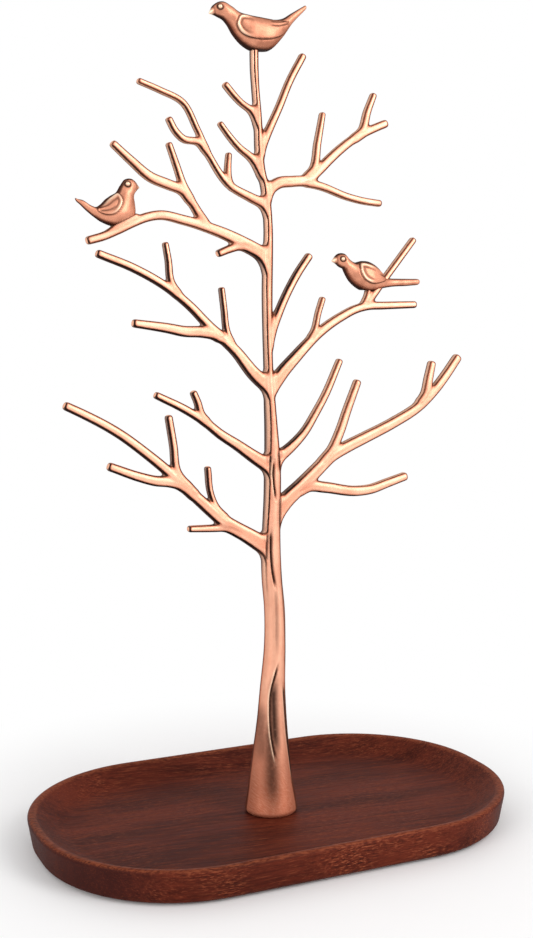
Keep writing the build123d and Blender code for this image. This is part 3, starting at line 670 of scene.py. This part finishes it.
class Wire:
    """A value in a node tree that can be added, subtracted and multiplied."""

    def __init__(self, graph, socket):
        self.graph, self.socket = graph, socket

    def __add__(self, other):
        return self.graph.math("ADD", self, other)

    def __sub__(self, other):
        return self.graph.math("SUBTRACT", self, other)

    def __rsub__(self, other):
        return self.graph.math("SUBTRACT", other, self)

    def __mul__(self, other):
        return self.graph.math("MULTIPLY", self, other)

    def __neg__(self):
        return self * -1.0

    def __abs__(self):
        return self.graph.math("ABSOLUTE", self)

    __radd__, __rmul__ = __add__, __mul__


class Graph:
    """Short words for laying out a node tree."""

    def __init__(self, tree):
        self.tree = tree

    def put(self, value, socket):
        if isinstance(value, Wire):
            self.tree.links.new(value.socket, socket)
        elif socket.type == "RGBA" and len(value) == 3:
            socket.default_value = (*value, 1)
        else:
            socket.default_value = value

    def node(self, kind, inputs=None, **settings):
        made = self.tree.nodes.new(kind)
        for key, value in settings.items():
            setattr(made, key, value)
        for key, value in (inputs or {}).items():
            self.put(value, made.inputs[key])
        return made

    def wire(self, kind, output, inputs=None, **settings):
        """One output of a new node."""
        return Wire(self, self.node(kind, inputs, **settings).outputs[output])

    def wires(self, kind, inputs=None, **settings):
        """All outputs of a new node by name."""
        return {socket.name: Wire(self, socket) for socket in self.node(kind, inputs, **settings).outputs}

    def math(self, operation, a, b=None):
        return self.wire("ShaderNodeMath", 0, {0: a} if b is None else {0: a, 1: b}, operation=operation)

    def most(self, a, b):
        return self.math("MAXIMUM", a, b)

    def span(self, value, low, high, to_low=0.0, to_high=1.0):
        """A smooth step between two values."""
        inputs = {"Value": value, "From Min": low, "From Max": high, "To Min": to_low, "To Max": to_high}
        return self.wire("ShaderNodeMapRange", "Result", inputs, interpolation_type="SMOOTHSTEP")

    def mix(self, share, a, b):
        """Colour a, with a share of colour b over it."""
        return self.wire("ShaderNodeMix", 2, {0: share, 6: a, 7: b}, data_type="RGBA")

    def over(self, colour, *layers):
        """A colour with others laid over it in turn, each by its share."""
        for share, tone in layers:
            colour = self.mix(share, colour, tone)
        return colour

    def mark(self, name):
        return self.wire("ShaderNodeAttribute", "Fac", attribute_name=name)

    def place(self):
        return self.wire("ShaderNodeTexCoord", "Object")

    def normal(self):
        return self.split(self.wire("ShaderNodeNewGeometry", "Normal"))

    def split(self, vector):
        return self.wires("ShaderNodeSeparateXYZ", {0: vector})

    def join(self, x, y, z):
        return self.wire("ShaderNodeCombineXYZ", 0, {0: x, 1: y, 2: z})

    def noise(self, vector, scale, detail=3.0, rough=0.55):
        inputs = {"Vector": vector, "Scale": scale, "Detail": detail, "Roughness": rough}
        return self.wire("ShaderNodeTexNoise", "Fac", inputs)

    def seen(self):
        """1 for what is looked at, straight, mirrored or through clear things, and 0 for plain light."""
        path = self.wires("ShaderNodeLightPath")
        return self.most(path["Is Camera Ray"], self.most(path["Is Glossy Ray"], path["Is Transmission Ray"]))


def node_group(name, inputs, outputs, lay_out):
    """A shader node group, laid out the first time that it is asked for."""
    tree = bpy.data.node_groups.get(name)
    if tree is None:
        tree = bpy.data.node_groups.new(name, "ShaderNodeTree")
        for title, default in inputs.items():
            kind = "NodeSocketColor" if isinstance(default, tuple) else "NodeSocketFloat"
            socket = tree.interface.new_socket(name=title, in_out="INPUT", socket_type=kind)
            socket.default_value = (*default, 1) if isinstance(default, tuple) else default
        for title in outputs:
            kind = "NodeSocketColor" if title == "Color" else "NodeSocketFloat"
            tree.interface.new_socket(name=title, in_out="OUTPUT", socket_type=kind)
        g = Graph(tree)
        g.node("NodeGroupOutput", lay_out(g, g.wires("NodeGroupInput")))
    return tree


def textures(g, place, spot):
    """Specks, fine brushing that runs along each piece, and crossed scratches."""
    x, y, z = spot["X"], spot["Y"], spot["Z"]
    strokes = g.join(*(value * scale for value, scale in zip((g.mark("run"), g.mark("inset"), y), BRUSHED)))
    crossed = g.join(*(value * scale for value, scale in zip((x + z, x - z, y), CROSSED)))
    return g.noise(place, SPECK, 2.0), g.noise(strokes, 1.0, 4.0, 0.6), g.noise(crossed, 1.0, 3.0, 0.6)


def edge_bands(g, given):
    """Colours of a flat casting by the place in its outline: edge lines of painted shade and reflection,
    sides in painted shade, bright fronts.
    """
    place = g.place()
    spot = g.split(place)
    drift = g.noise(place, DRIFT)
    speck, brushed, aslant = textures(g, place, spot)
    bright, warm, red, brown, grey, dark, lip = (given[title] for title in BAND_INPUTS)
    edge_x, edge_z, ahead, stem = (g.mark(name) for name in ("edge_x", "edge_z", "ahead", "stem"))
    right, left = g.most(edge_x, 0.0), g.most(-edge_x, 0.0)
    up, under = g.most(edge_z, 0.0), g.most(-edge_z, 0.0)
    flank, limb = stem * left, 1.0 - stem
    inset = g.mark("inset") + speck * 0.25 + brushed * 0.15 - 0.2
    wander = spot["Z"] + drift * 0.02
    foot = g.span(wander, given["Foot Height"], given["Foot Height"] + FOOT_FADE, 1.0, 0.0)
    rounded = g.span(wander, given["Round Height"], given["Round Height"] + ROUND_FADE, 1.0, 0.0)
    # Fronts, redder where they are broad, on the trunk, at the forks and roots, and scratched at the foot
    root = g.span(g.mark("run"), 4.0, 24.0, 0.5, 0.0) * limb
    face = g.over(
        bright,
        (g.span(drift * 0.8 + brushed * 0.45 + stem * 0.06, 0.5, 0.9, 0.0, 0.45), warm),
        (g.span(inset, 1.7, 3.0, 0.0, 0.6) * limb, warm),
        (stem * 0.3, warm),
        (g.most(root, g.mark("web") * 0.5), warm),
        (foot, g.mix(g.span(aslant, 0.4, 0.7, 0.0, 0.4), red, bright)),
    )
    # Edge lines of painted shade and reflection: thick and dark on the left and below, thinner and browner
    # above, lighter with painted light on the right half, and lighter on the high limbs
    lighter_lines = g.span(spot["X"], *LIT_RIGHT) * g.span(under, 0.5, 0.2)
    lighter_lines = g.most(lighter_lines, g.span(spot["Z"], *LIGHTER_HIGH) * (0.85 - stem))
    heavy = left + under * 0.5 - right * 0.3 - stem * 0.35 - lighter_lines * 0.7
    width = right * 0.5 + left * 0.62 + under * 0.38 + flank * 0.1 + stem * right * 0.6 + 0.42
    width = width - lighter_lines * g.most(left, under) * 0.3
    start = flank * 0.42 + 0.16
    # Sides in painted shade: dark towards the back and below, brown above, with painted light beside the
    # trunk's line and where the edge lines are lighter
    pale = g.mix(0.45, lip, warm)
    side = g.over(
        dark,
        (g.span(ahead, -0.35, 0.05), grey),
        (g.span(ahead, 0.0, 0.45) * stem, pale),
        (g.span(up, 0.3, 0.8, 0.0, 0.5), dark),
        (g.span(up - left * 1.2, 0.5, 0.85), warm),
        (g.span(under, 0.35, 0.8, 0.0, 0.8), dark),
        (lighter_lines * 0.8 * g.span(ahead, -0.4, 0.1), pale),
    )
    # From the side inwards over the line to the front, with a painted highlight on the cut ends inside a dark
    # ring
    banded = g.over(
        side,
        (g.span(inset, start - 0.1, start + 0.1), g.mix(g.span(heavy, 0.2, 0.6), brown, dark)),
        (g.span(inset, width - 0.12, width + 0.12), warm),
        (g.span(inset, width + 0.08, width + 0.55), face),
        (g.span(g.mark("tip"), 0.78, 0.92) * g.span(abs(ahead), 0.8, 0.6), bright),
    )
    # Painted shade: the round lower trunk only darkens where it turns away to the back and the left
    turn = ahead - edge_x * 0.37 + speck * 0.1 - 0.37
    turned = g.over(brown, (g.span(turn, -0.1, 0.06), warm), (g.span(turn, 0.0, 0.24), face))
    return {"Color": g.mix(rounded, banded, turned), "Scratches": foot}


def cast_copper(g, given):
    """Worn copper over given colours: bright lips, patina in hollows with painted shade in the broad hollows,
    creases and birds' backs, painted shade where surfaces crowd, and grain.
    """
    place = g.place()
    speck, brushed, aslant = textures(g, place, g.split(place))
    # Painted shade where surfaces crowd each other, laid with the hollow mark's patina and painted shade
    crowd = g.wire("ShaderNodeAmbientOcclusion", "AO", {"Distance": CROWDED}, samples=6, only_local=True)
    deep = g.most(g.mark("hollow") * 0.95, g.span(crowd, 0.25, 0.75, 0.75, 0.0))
    deep = deep * g.span(speck + brushed * 0.4, 0.3, 0.75, 0.8, 1.0)
    colour = g.over(given["Color"], (deep, given["Dark"]), (g.mark("lip") * 0.85, given["Lip"]))
    grain = brushed * given["Brushing"] + speck * 0.5 + aslant * given["Scratches"] * 1.2
    rough = g.span(grain, 0.5, 1.1, 0.38, 0.54) + deep * 0.25
    return {"Color": colour, "Roughness": rough, "Height": grain}


def new_material(name):
    """A new material with its graph and its Principled BSDF."""
    material = bpy.data.materials.new(name)
    material.use_nodes = True
    shader = next(n for n in material.node_tree.nodes if n.type == "BSDF_PRINCIPLED")
    return material, Graph(material.node_tree), shader


def lay_on(g, shader, colour, rough, height, relief, plain):
    """Put colour, roughness and fine relief on a shader, with the values that are the same all over."""
    strength, distance = relief
    bump = g.wire("ShaderNodeBump", "Normal", {"Strength": strength, "Distance": distance, "Height": height})
    for key, value in {"Base Color": colour, "Roughness": rough, "Normal": bump, **plain}.items():
        g.put(value, shader.inputs[key])


def copper(name, finish, coloured, brushing):
    """A cast copper material; coloured lays out its colours and returns them with the share of scratches."""
    material, g, shader = new_material(name)
    colour, scratches = coloured(g)
    tree = node_group("Cast copper", {**CAST_INPUTS, "Scratches": 0.0, "Brushing": 1.0},
                      ("Color", "Roughness", "Height"), cast_copper)
    made = g.wires("ShaderNodeGroup", {"Color": colour, "Lip": finish.lip, "Dark": finish.dark,
                                       "Scratches": scratches, "Brushing": brushing}, node_tree=tree)
    lay_on(g, shader, made["Color"], made["Roughness"], made["Height"], COPPER_RELIEF,
           {"Metallic": COPPER_METALLIC, "Specular Tint": COPPER_TINT})
    return material


def tree_copper(finish):
    """The copper that the trunk and all limbs share."""

    def coloured(g):
        tree = node_group("Edge bands", {**BAND_INPUTS, "Foot Height": 0.04, "Round Height": 0.1},
                          ("Color", "Scratches"), edge_bands)
        tones = {title: getattr(finish, title.lower()) for title in BAND_INPUTS}
        bands = g.wires("ShaderNodeGroup", {**tones, "Foot Height": FOOT_TOP, "Round Height": ROUND_TOP},
                        node_tree=tree)
        return bands["Color"], bands["Scratches"]

    return bpy.data.materials.get("Tree copper") or copper("Tree copper", finish, coloured, 1.0)


def bird_copper(finish, settings):
    """The copper of the birds, darker with painted shade where their bodies turn away."""

    def coloured(g):
        place, normal = g.place(), g.normal()
        # Painted shade: from the edge line through the shaded copper where the body turns sideways, a little
        # more on the left
        facing = abs(normal["Y"]) + g.noise(place, SPECK, 2.0) * 0.22 + normal["X"] * 0.08 - 0.12
        blush = g.span(g.noise(place, DRIFT), 0.4, 0.7, 0.0, 0.6)
        # Painted shade along the backs and under the bellies
        level = g.span(abs(normal["Z"] - 0.05), 0.62, 0.92, 0.0, 0.85)
        return g.over(
            finish.line,
            (g.span(facing, 0.2, 0.36), settings.shaded),
            (g.span(facing, 0.34, 0.72), g.mix(blush, settings.plumage, settings.shaded)),
            (level, finish.dark),
        ), 0.0

    return copper("Bird copper", finish, coloured, 0.4)


def dish_wood(settings):
    """Dark reddish wood: soft figure and streaks along the dish, short pale flecks and plum end grain."""
    material, g, shader = new_material("Dish wood")
    place, normal = g.place(), g.normal()
    spot = g.split(place)
    across = spot["Y"] + g.noise(place, 11.0, 2.0) * 0.012 + spot["X"] * 0.1

    def streaks(lengthways, crossways, upright, detail, rough=0.6):
        spread = g.join(spot["X"] * lengthways, across * crossways, spot["Z"] * upright)
        return g.noise(spread, 1.0, detail, rough)

    figure, grain = streaks(9.0, 55.0, 30.0, 2.0, 0.55), streaks(28.0, 520.0, 520.0, 4.0)
    fine, short = streaks(90.0, 1700.0, 1700.0, 3.0), streaks(330.0, 1500.0, 1500.0, 2.0)
    wall = g.span(abs(normal["Z"]), 0.5, 0.95, 1.0, 0.0)
    # Short flecks and pores gather in patches, mostly on the walls and slopes
    gathered = g.span(g.noise(place, 26.0), 0.4, 0.62) * (wall * 0.7 + 0.3)
    # Plain plum end grain where the walls turn across the dish
    ends = g.span(abs(normal["X"]), 0.35, 0.75) * g.span(fine, 0.35, 0.7, 0.85, 0.55) * wall
    # Painted highlight along the crest of the rim
    crest = g.span(spot["Z"], *RIM_HIGHLIGHT) * g.span(short, 0.4, 0.62, 0.1, 0.5)
    colour = g.over(
        settings.ground,
        (g.span(figure * 0.55 + grain * 0.45, 0.36, 0.64), settings.grain),
        (g.span(fine, 0.5, 0.78, 0.0, 0.4), settings.fleck),
        (g.span(short, 0.52, 0.68) * gathered * 0.7, settings.fleck),
        (g.span(short, 0.46, 0.32) * (gathered * 0.6 + 0.25), settings.pore),
        (ends, settings.ends),
        (crest, settings.fleck),
    )
    lay_on(g, shader, colour, g.span(fine, 0.3, 0.7, 0.5, 0.64), fine + short, WOOD_RELIEF,
           {"Specular IOR Level": WOOD_SPECULAR})
    return material


def plain_stock(name, colour, metallic, rough, scale):
    """A plain material with a fine grain of its own scale and slow tone drifts."""
    material, g, shader = new_material(name)
    place = g.place()
    drift, grit = g.noise(place, 120.0), g.noise(place, scale, 2.0)
    darker = tuple(c * 0.6 for c in colour)
    lay_on(g, shader, g.mix(g.span(drift, 0.35, 0.65), colour, darker),
           g.span(grit, 0.3, 0.7, rough - 0.08, rough + 0.1), grit, STOCK_RELIEF, {"Metallic": metallic})
    return material


def floor_paint(settings):
    """Pale floor that keeps the shadow, runs out into plain white and is clear when seen from below."""
    material, g, shader = new_material("Pale floor")
    place = g.place()
    mottle = g.span(g.noise(place, 40.0, 2.0), 0.3, 0.7, 0.0, 0.02)
    g.put(g.mix(mottle, settings.floor, (0.8, 0.8, 0.8)), shader.inputs["Base Color"])
    g.put(0.8, shader.inputs["Roughness"])
    g.put(0.2, shader.inputs["Specular IOR Level"])
    away = g.wire("ShaderNodeVectorMath", "Value", {0: place}, operation="LENGTH")
    share = g.span(away, *FLOOR_FADE) * g.seen()
    glow = g.wire("ShaderNodeEmission", 0, {"Color": WHITE, "Strength": 1.0})
    mixed = g.wire("ShaderNodeMixShader", 0, {0: share, 1: Wire(g, shader.outputs[0]), 2: glow})
    below, clear = g.wire("ShaderNodeNewGeometry", "Backfacing"), g.wire("ShaderNodeBsdfTransparent", 0)
    output = next(n for n in material.node_tree.nodes if n.type == "OUTPUT_MATERIAL")
    g.put(g.wire("ShaderNodeMixShader", 0, {0: below, 1: mixed, 2: clear}), output.inputs["Surface"])
    return material


# ---- Birds ----


def bird_rows(bird):
    """All sections of a bird from the beak's tip to the rounded tail: middle, half chord, half width."""
    rows = []
    for back, belly, width in bird["chords"]:
        back, belly = np.array(back), np.array(belly)
        rows.append([*((back + belly) / 2), *((back - belly) / 2), width / 2])
    face, point = np.array(rows[0]), np.array(bird["beak"])
    head = []
    for share, size, wide in BEAK_ROWS:
        middle = point + (face[:2] - point) * share
        head.append([*middle, *(face[2:4] * size), face[4] * wide])
    last, before = np.array(rows[-1]), np.array(rows[-2])
    way = (last[:2] - before[:2]) / np.linalg.norm(last[:2] - before[:2])
    tail = []
    for share in TAIL_ROWS:
        size = max(math.sqrt(1 - share * share), 0.02)
        tail.append([*(last[:2] + way * last[4] * share), *(last[2:4] * size), last[4] * size])
    return np.array(head + rows + tail)


def inside(outline, x, z):
    """Whether points lie within a closed outline."""
    result = np.zeros(x.shape, bool)
    for (x0, z0), (x1, z1) in zip(outline, np.roll(outline, -1, axis=0)):
        crosses = (z0 > z) != (z1 > z)
        with np.errstate(divide="ignore", invalid="ignore"):
            result ^= crosses & (x < (x1 - x0) * (z - z0) / (z1 - z0) + x0)
    return result


def round_outline(points, spacing=0.5):
    """A smooth closed line through points."""
    looped = np.array([*points[-3:], *points, *points[:3]], float)
    key = lengths(looped)
    return follow(looped, np.arange(key[3], key[3 + len(points)], spacing))


def outward(grid):
    """Directions out of a bird's skin, from the neighbours round and along the body."""
    around = np.roll(grid, -1, axis=1) - np.roll(grid, 1, axis=1)
    out = np.cross(around, np.gradient(grid, axis=0))
    out /= np.linalg.norm(out, axis=-1, keepdims=True) + 1e-9
    middle = grid - grid.mean(axis=1, keepdims=True)
    return out * np.where((out * middle).sum(-1, keepdims=True) < 0, -1, 1)


def bird_relief(bird, settings, at, upright, aside, x, z):
    """How far the skin is raised, how dark and how bright it is: wing, feather lines, the eye's ring, and
    painted shade along the back and under the belly.
    """
    outline = round_outline(bird["wing"])
    edge = near(np.concatenate([outline, outline[:1]]), np.zeros(len(outline) + 1), x, z)[0]
    within = inside(outline, x, z)
    # Relief keeps to the flanks, and the wing is crispest in front
    flank = ease((aside - 0.2) / 0.3)
    wing_x, wing_z = bird["wing"][1]
    ahead = ease(1 - (np.hypot(x - wing_x, z - wing_z) - 4) / 6)
    crest = np.where(within, ridge(edge, 0.75, 0.75), 0) * ahead * flank
    lift = settings.wing_lift * np.where(within, ease(edge / 0.8 + 0.25), 0) * flank + CREST_HEIGHT * crest
    behind_crest, round_wing = 0.7 * ridge(edge, 1.9, 0.8) * ahead, 0.8 * ease(1 - edge / 0.8)
    grooves_and_shade = np.where(within, behind_crest, round_wing) * flank
    cut = grooves_and_shade * WING_CUT
    for line in bird["feathers"]:
        line = np.array(line, float)
        gap, run = line_to(line, x, z, np.linspace(0, lengths(line)[-1], 16))
        mark = ease(1 - gap / 0.65) * ease(run / 3 + 0.2) * flank
        grooves_and_shade = np.maximum(grooves_and_shade, mark * 0.8)
        cut = np.maximum(cut, settings.feather_depth * mark)
    # Painted shade along the back and under the belly, and a dark line behind the beak
    shade_and_beak_line = np.maximum(ease((upright - 0.68) / 0.16), ease((-0.86 - upright) / 0.1))
    shade_and_beak_line = np.maximum(shade_and_beak_line, 0.7 * ridge(at[:, None], BEAK_LENGTH, 0.5))
    grooves_and_shade = np.maximum(grooves_and_shade, 0.85 * shade_and_beak_line)
    from_eye = np.hypot(x - bird["eye"][0], z - bird["eye"][1])
    ring = ease(1.3 - np.abs(from_eye - settings.eye_radius - 0.2) / 0.6) * (flank > 0)
    grooves_and_shade = np.maximum(grooves_and_shade, ring)
    cut = np.maximum(cut, EYE_CUT * ring)
    return lift - cut, grooves_and_shade, np.maximum(crest, ease(1.6 - at[:, None] / 1.4))


def stand(grid, foot, up):
    """Press a bird's skin flat where it stands."""
    under = (grid[..., 0] - foot[0]) * up[0] + (grid[..., 2] - foot[1]) * up[1]
    sink = np.clip(STAND_GAP - under, 0, None)
    grid[..., 0] += sink * up[0]
    grid[..., 2] += sink * up[1]


def tube_faces(rings, count):
    """Quads between rings of points, and a face over either end."""
    index = np.arange(rings * count).reshape(rings, count)
    turned = np.roll(index, -1, axis=1)
    quads = np.stack([index[:-1], turned[:-1], turned[1:], index[1:]], axis=-1).reshape(-1, 4).tolist()
    return quads + [index[0][::-1].tolist(), index[-1].tolist()]


def ball(middle, radius, base, rows=12, count=20):
    """Points and faces of a small bead, numbered from base."""
    points = []
    for i in range(1, rows):
        tilt = math.pi * i / rows
        for j in range(count):
            turn = 2 * math.pi * j / count
            points.append((math.sin(tilt) * math.cos(turn), math.cos(tilt), math.sin(tilt) * math.sin(turn)))
    points += [(0, 1, 0), (0, -1, 0)]
    top, bottom = base + (rows - 1) * count, base + (rows - 1) * count + 1
    faces = []
    for j in range(count):
        n = (j + 1) % count
        faces.append([top, base + n, base + j])
        for i in range(rows - 2):
            a = base + i * count
            faces.append([a + j, a + n, a + count + n, a + count + j])
        a = base + (rows - 2) * count
        faces.append([a + j, a + n, bottom])
    return np.array(points) * radius + np.array(middle), faces


# ---- Operators ----


class RACK_OT_trunk(Operator):
    """Cast the trunk with its flared foot and chased lines"""

    bl_idname = "rack.trunk"
    bl_label = "Trunk"

    def execute(self, context):
        casting = context.scene.rack_casting
        step = casting.trunk_step * 1
        low = (TRUNK_LEFT, -TRUNK_DEPTH, TRUNK_FOOT - 2 * step)
        high = (TRUNK_RIGHT, TRUNK_DEPTH, TRUNK_TOP + 2 * step)
        x, z, y = grid_lines(low, high, step)
        trunk = shape = trunk_plane(x, z)
        middle = along(TRUNK, z)[..., 0]
        for name in LIMBS:
            shape = joined(name, limb_plane(name, x, z, casting), shape, middle, x, casting.root_web)
        shape = chased(shape, x, z)
        # The trunk's skin slips under the limbs' a little way out along each root
        value = thick(shape, y) + through(SLIP * ease(trunk["gap"] / OVERLAP))
        value = np.maximum(value, through(trunk["gap"] - OVERLAP))
        # Rounded lower edge of the foot, plain cut at the top
        ground = through(TRUNK_FOOT - z)
        share = np.clip(0.5 + 0.5 * (value - ground) / FOOT_ROUND, 0, 1)
        value = ground + (value - ground) * share + FOOT_ROUND * share * (1 - share)
        cast(context, "trunk", shape, np.maximum(value, through(z - TRUNK_TOP)), low, step)
        return {"FINISHED"}


class RACK_OT_limbs(Operator):
    """Cast every limb and single twig of the tree"""

    bl_idname = "rack.limbs"
    bl_label = "Limbs and twigs"

    def execute(self, context):
        casting = context.scene.rack_casting
        step = casting.limb_step * 1
        for name, (_, _, twigs) in LIMBS.items():
            spots = np.concatenate([np.array(points) for points, _ in twigs])
            low = (spots[:, 0].min() - MARGIN, -LIMB_DEPTH, spots[:, 1].min() - MARGIN_BELOW)
            high = (spots[:, 0].max() + MARGIN, LIMB_DEPTH, spots[:, 1].max() + MARGIN)
            x, z, y = grid_lines(low, high, step)
            limb, trunk = limb_plane(name, x, z, casting), trunk_plane(x, z)
            past_root = limb["gap"] - casting.root_web
            shape = joined(name, limb, trunk, along(TRUNK, z)[..., 0], x, casting.root_web)
            slip = np.maximum(1 - ease((trunk["gap"] + 0.2) / OVERLAP), ease(past_root / 1.5 + 1))
            value = thick(shape, y) + through(SLIP * slip)
            value = np.maximum(value, through(np.maximum(-1.0 - trunk["gap"], past_root)))
            cast(context, name, shape, value, low, step)
        return {"FINISHED"}


class RACK_OT_birds(Operator):
    """Model the three birds with wings, feather lines, eyes and beaks"""

    bl_idname = "rack.birds"
    bl_label = "Birds"

    def execute(self, context):
        settings = context.scene.rack_birds
        material = bird_copper(context.scene.rack_finish, settings)
        count = settings.ring_points
        angle = np.arange(count) * 2 * math.pi / count
        for name, bird in BIRDS.items():
            rows = bird_rows(bird)
            key = lengths(rows)
            at = np.unique(np.concatenate([np.arange(0, key[-1], settings.ring_step), key[-4:], key[:3]]))
            middle_x, middle_z, chord_x, chord_z, half = follow(rows, at).T[..., None]
            x, z = middle_x + chord_x * np.cos(angle), middle_z + chord_z * np.cos(angle)
            y = half * np.sin(angle)
            grid = np.stack([x, y, z], axis=-1)
            upright = np.cos(angle) * np.ones_like(x)
            aside = np.abs(y) / (half + 1e-6)
            raised, grooves_and_shade, bright = bird_relief(bird, settings, at, upright, aside, x, z)
            grid = grid + outward(grid) * raised[..., None]
            stand(grid, *bird["stands"])
            points, faces = grid.reshape(-1, 3), tube_faces(len(at), count)
            marks = {"run": np.repeat(at, count), "inset": (angle * half).ravel(), "hollow": grooves_and_shade.ravel(),
                     "lip": bright.ravel()}
            # Bright eye beads
            eye_x, eye_z, eye_y = bird["eye"]
            for side in (-1, 1):
                bead, bead_faces = ball((eye_x, side * eye_y, eye_z), settings.eye_radius, len(points))
                points, faces = np.concatenate([points, bead]), faces + bead_faces
                for mark in marks:
                    marks[mark] = np.concatenate([marks[mark], np.full(len(bead), float(mark == "lip"))])
            piece = make_mesh(name + "_figure", points, np.array(faces, dtype=object), marks)
            dress(piece, name, material)
        return {"FINISHED"}


def refinish(node, material):
    """Put a material on every slot of a node that keeps its own shape."""
    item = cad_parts[node]
    if not item.material_slots:
        item.data.materials.append(material)
    for slot in item.material_slots:
        slot.material = material


class RACK_OT_dish(Operator):
    """Finish the dish as dark grained wood"""

    bl_idname = "rack.dish"
    bl_label = "Dish"

    def execute(self, context):
        refinish("dish", dish_wood(context.scene.rack_dish))
        return {"FINISHED"}


class RACK_OT_fixings(Operator):
    """Finish the pads, the foot screw, its washer and the locating pin"""

    bl_idname = "rack.fixings"
    bl_label = "Fixings and pads"

    def execute(self, context):
        for stock, nodes in STOCKS.items():
            material = plain_stock(*stock)
            for node in nodes:
                refinish(node, material)
        return {"FINISHED"}


def aimed(scene, name, data, spot, target):
    """A lamp or camera at a spot, looking at a target."""
    holder = bpy.data.objects.new(name, data)
    holder.location = spot
    holder.rotation_euler = (Vector(target) - Vector(spot)).to_track_quat("-Z", "Y").to_euler()
    scene.collection.objects.link(holder)
    return holder


def place_camera(scene):
    """The camera at the photograph's viewing angle."""
    camera = bpy.data.cameras.new("camera")
    camera.lens, camera.sensor_width = 50.3, 36
    camera.clip_start, camera.clip_end = 0.01, 60
    camera.shift_x, camera.shift_y = -0.00603, 0.00328
    scene.camera = aimed(scene, "camera", camera, CAMERA_SPOT, CAMERA_TARGET)


class RACK_OT_stage(Operator):
    """Set out the pale floor, the soft lights and the camera"""

    bl_idname = "rack.stage"
    bl_label = "Stage"

    def execute(self, context):
        scene, settings = context.scene, context.scene.rack_stage
        mesh = bpy.data.meshes.new("floor")
        corners = [(x * FLOOR_REACH, y * FLOOR_REACH, 0) for x, y in ((-1, -1), (1, -1), (1, 1), (-1, 1))]
        mesh.from_pydata(corners, [], [(0, 1, 2, 3)])
        floor = bpy.data.objects.new("floor", mesh)
        scene.collection.objects.link(floor)
        floor.location.z = -FLOOR_GAP
        floor.data.materials.append(floor_paint(settings))
        for name, (spot, size) in LAMPS.items():
            lamp = bpy.data.lights.new(name, "AREA")
            lamp.shape, lamp.size, lamp.energy = "DISK", size, getattr(settings, name + "_power")
            aimed(scene, name, lamp, spot, LAMP_TARGET)
        world = bpy.data.worlds.new("Studio")
        scene.world = world
        world.use_nodes = True
        world.node_tree.nodes.clear()
        # The room is plain white to look at, and lights the rack with its own strength
        g = Graph(world.node_tree)
        strength = g.seen() * (1 - settings.sky) + settings.sky
        sky = g.wire("ShaderNodeBackground", 0, {"Color": WHITE, "Strength": strength})
        g.node("ShaderNodeOutputWorld", {"Surface": sky})
        place_camera(scene)
        scene.view_settings.view_transform = "Standard"
        return {"FINISHED"}


class RACK_PT_panel(Panel):
    """The rack's pieces and their settings"""

    bl_label = "Jewelry Rack"
    bl_idname = "RACK_PT_panel"
    bl_space_type = "VIEW_3D"
    bl_region_type = "UI"
    bl_category = "Rack"

    def draw(self, context):
        for name, (_, steps) in GROUPS.items():
            box = self.layout.box()
            settings = getattr(context.scene, name)
            for key in type(settings).__annotations__:
                box.prop(settings, key)
            for step in steps:
                box.operator(step)


# The scene's settings, with the operators that the panel shows beside them
GROUPS = {
    "rack_casting": (CastingSettings, ("rack.trunk", "rack.limbs")),
    "rack_birds": (BirdSettings, ("rack.birds",)),
    "rack_finish": (FinishSettings, ()),
    "rack_dish": (DishSettings, ("rack.dish", "rack.fixings")),
    "rack_stage": (StageSettings, ("rack.stage",)),
}
CLASSES = (*(group for group, _ in GROUPS.values()), RACK_OT_trunk, RACK_OT_limbs, RACK_OT_birds,
           RACK_OT_dish, RACK_OT_fixings, RACK_OT_stage, RACK_PT_panel)


def register():
    for item in CLASSES:
        bpy.utils.register_class(item)
    for name, (group, _) in GROUPS.items():
        setattr(bpy.types.Scene, name, PointerProperty(type=group))


def unregister():
    for name in GROUPS:
        delattr(bpy.types.Scene, name)
    for item in reversed(CLASSES):
        bpy.utils.unregister_class(item)


def main():
    register()
    bpy.ops.rack.trunk()
    bpy.ops.rack.limbs()
    bpy.ops.rack.birds()
    bpy.ops.rack.dish()
    bpy.ops.rack.fixings()
    bpy.ops.rack.stage()


if __name__ == "__main__":
    main()
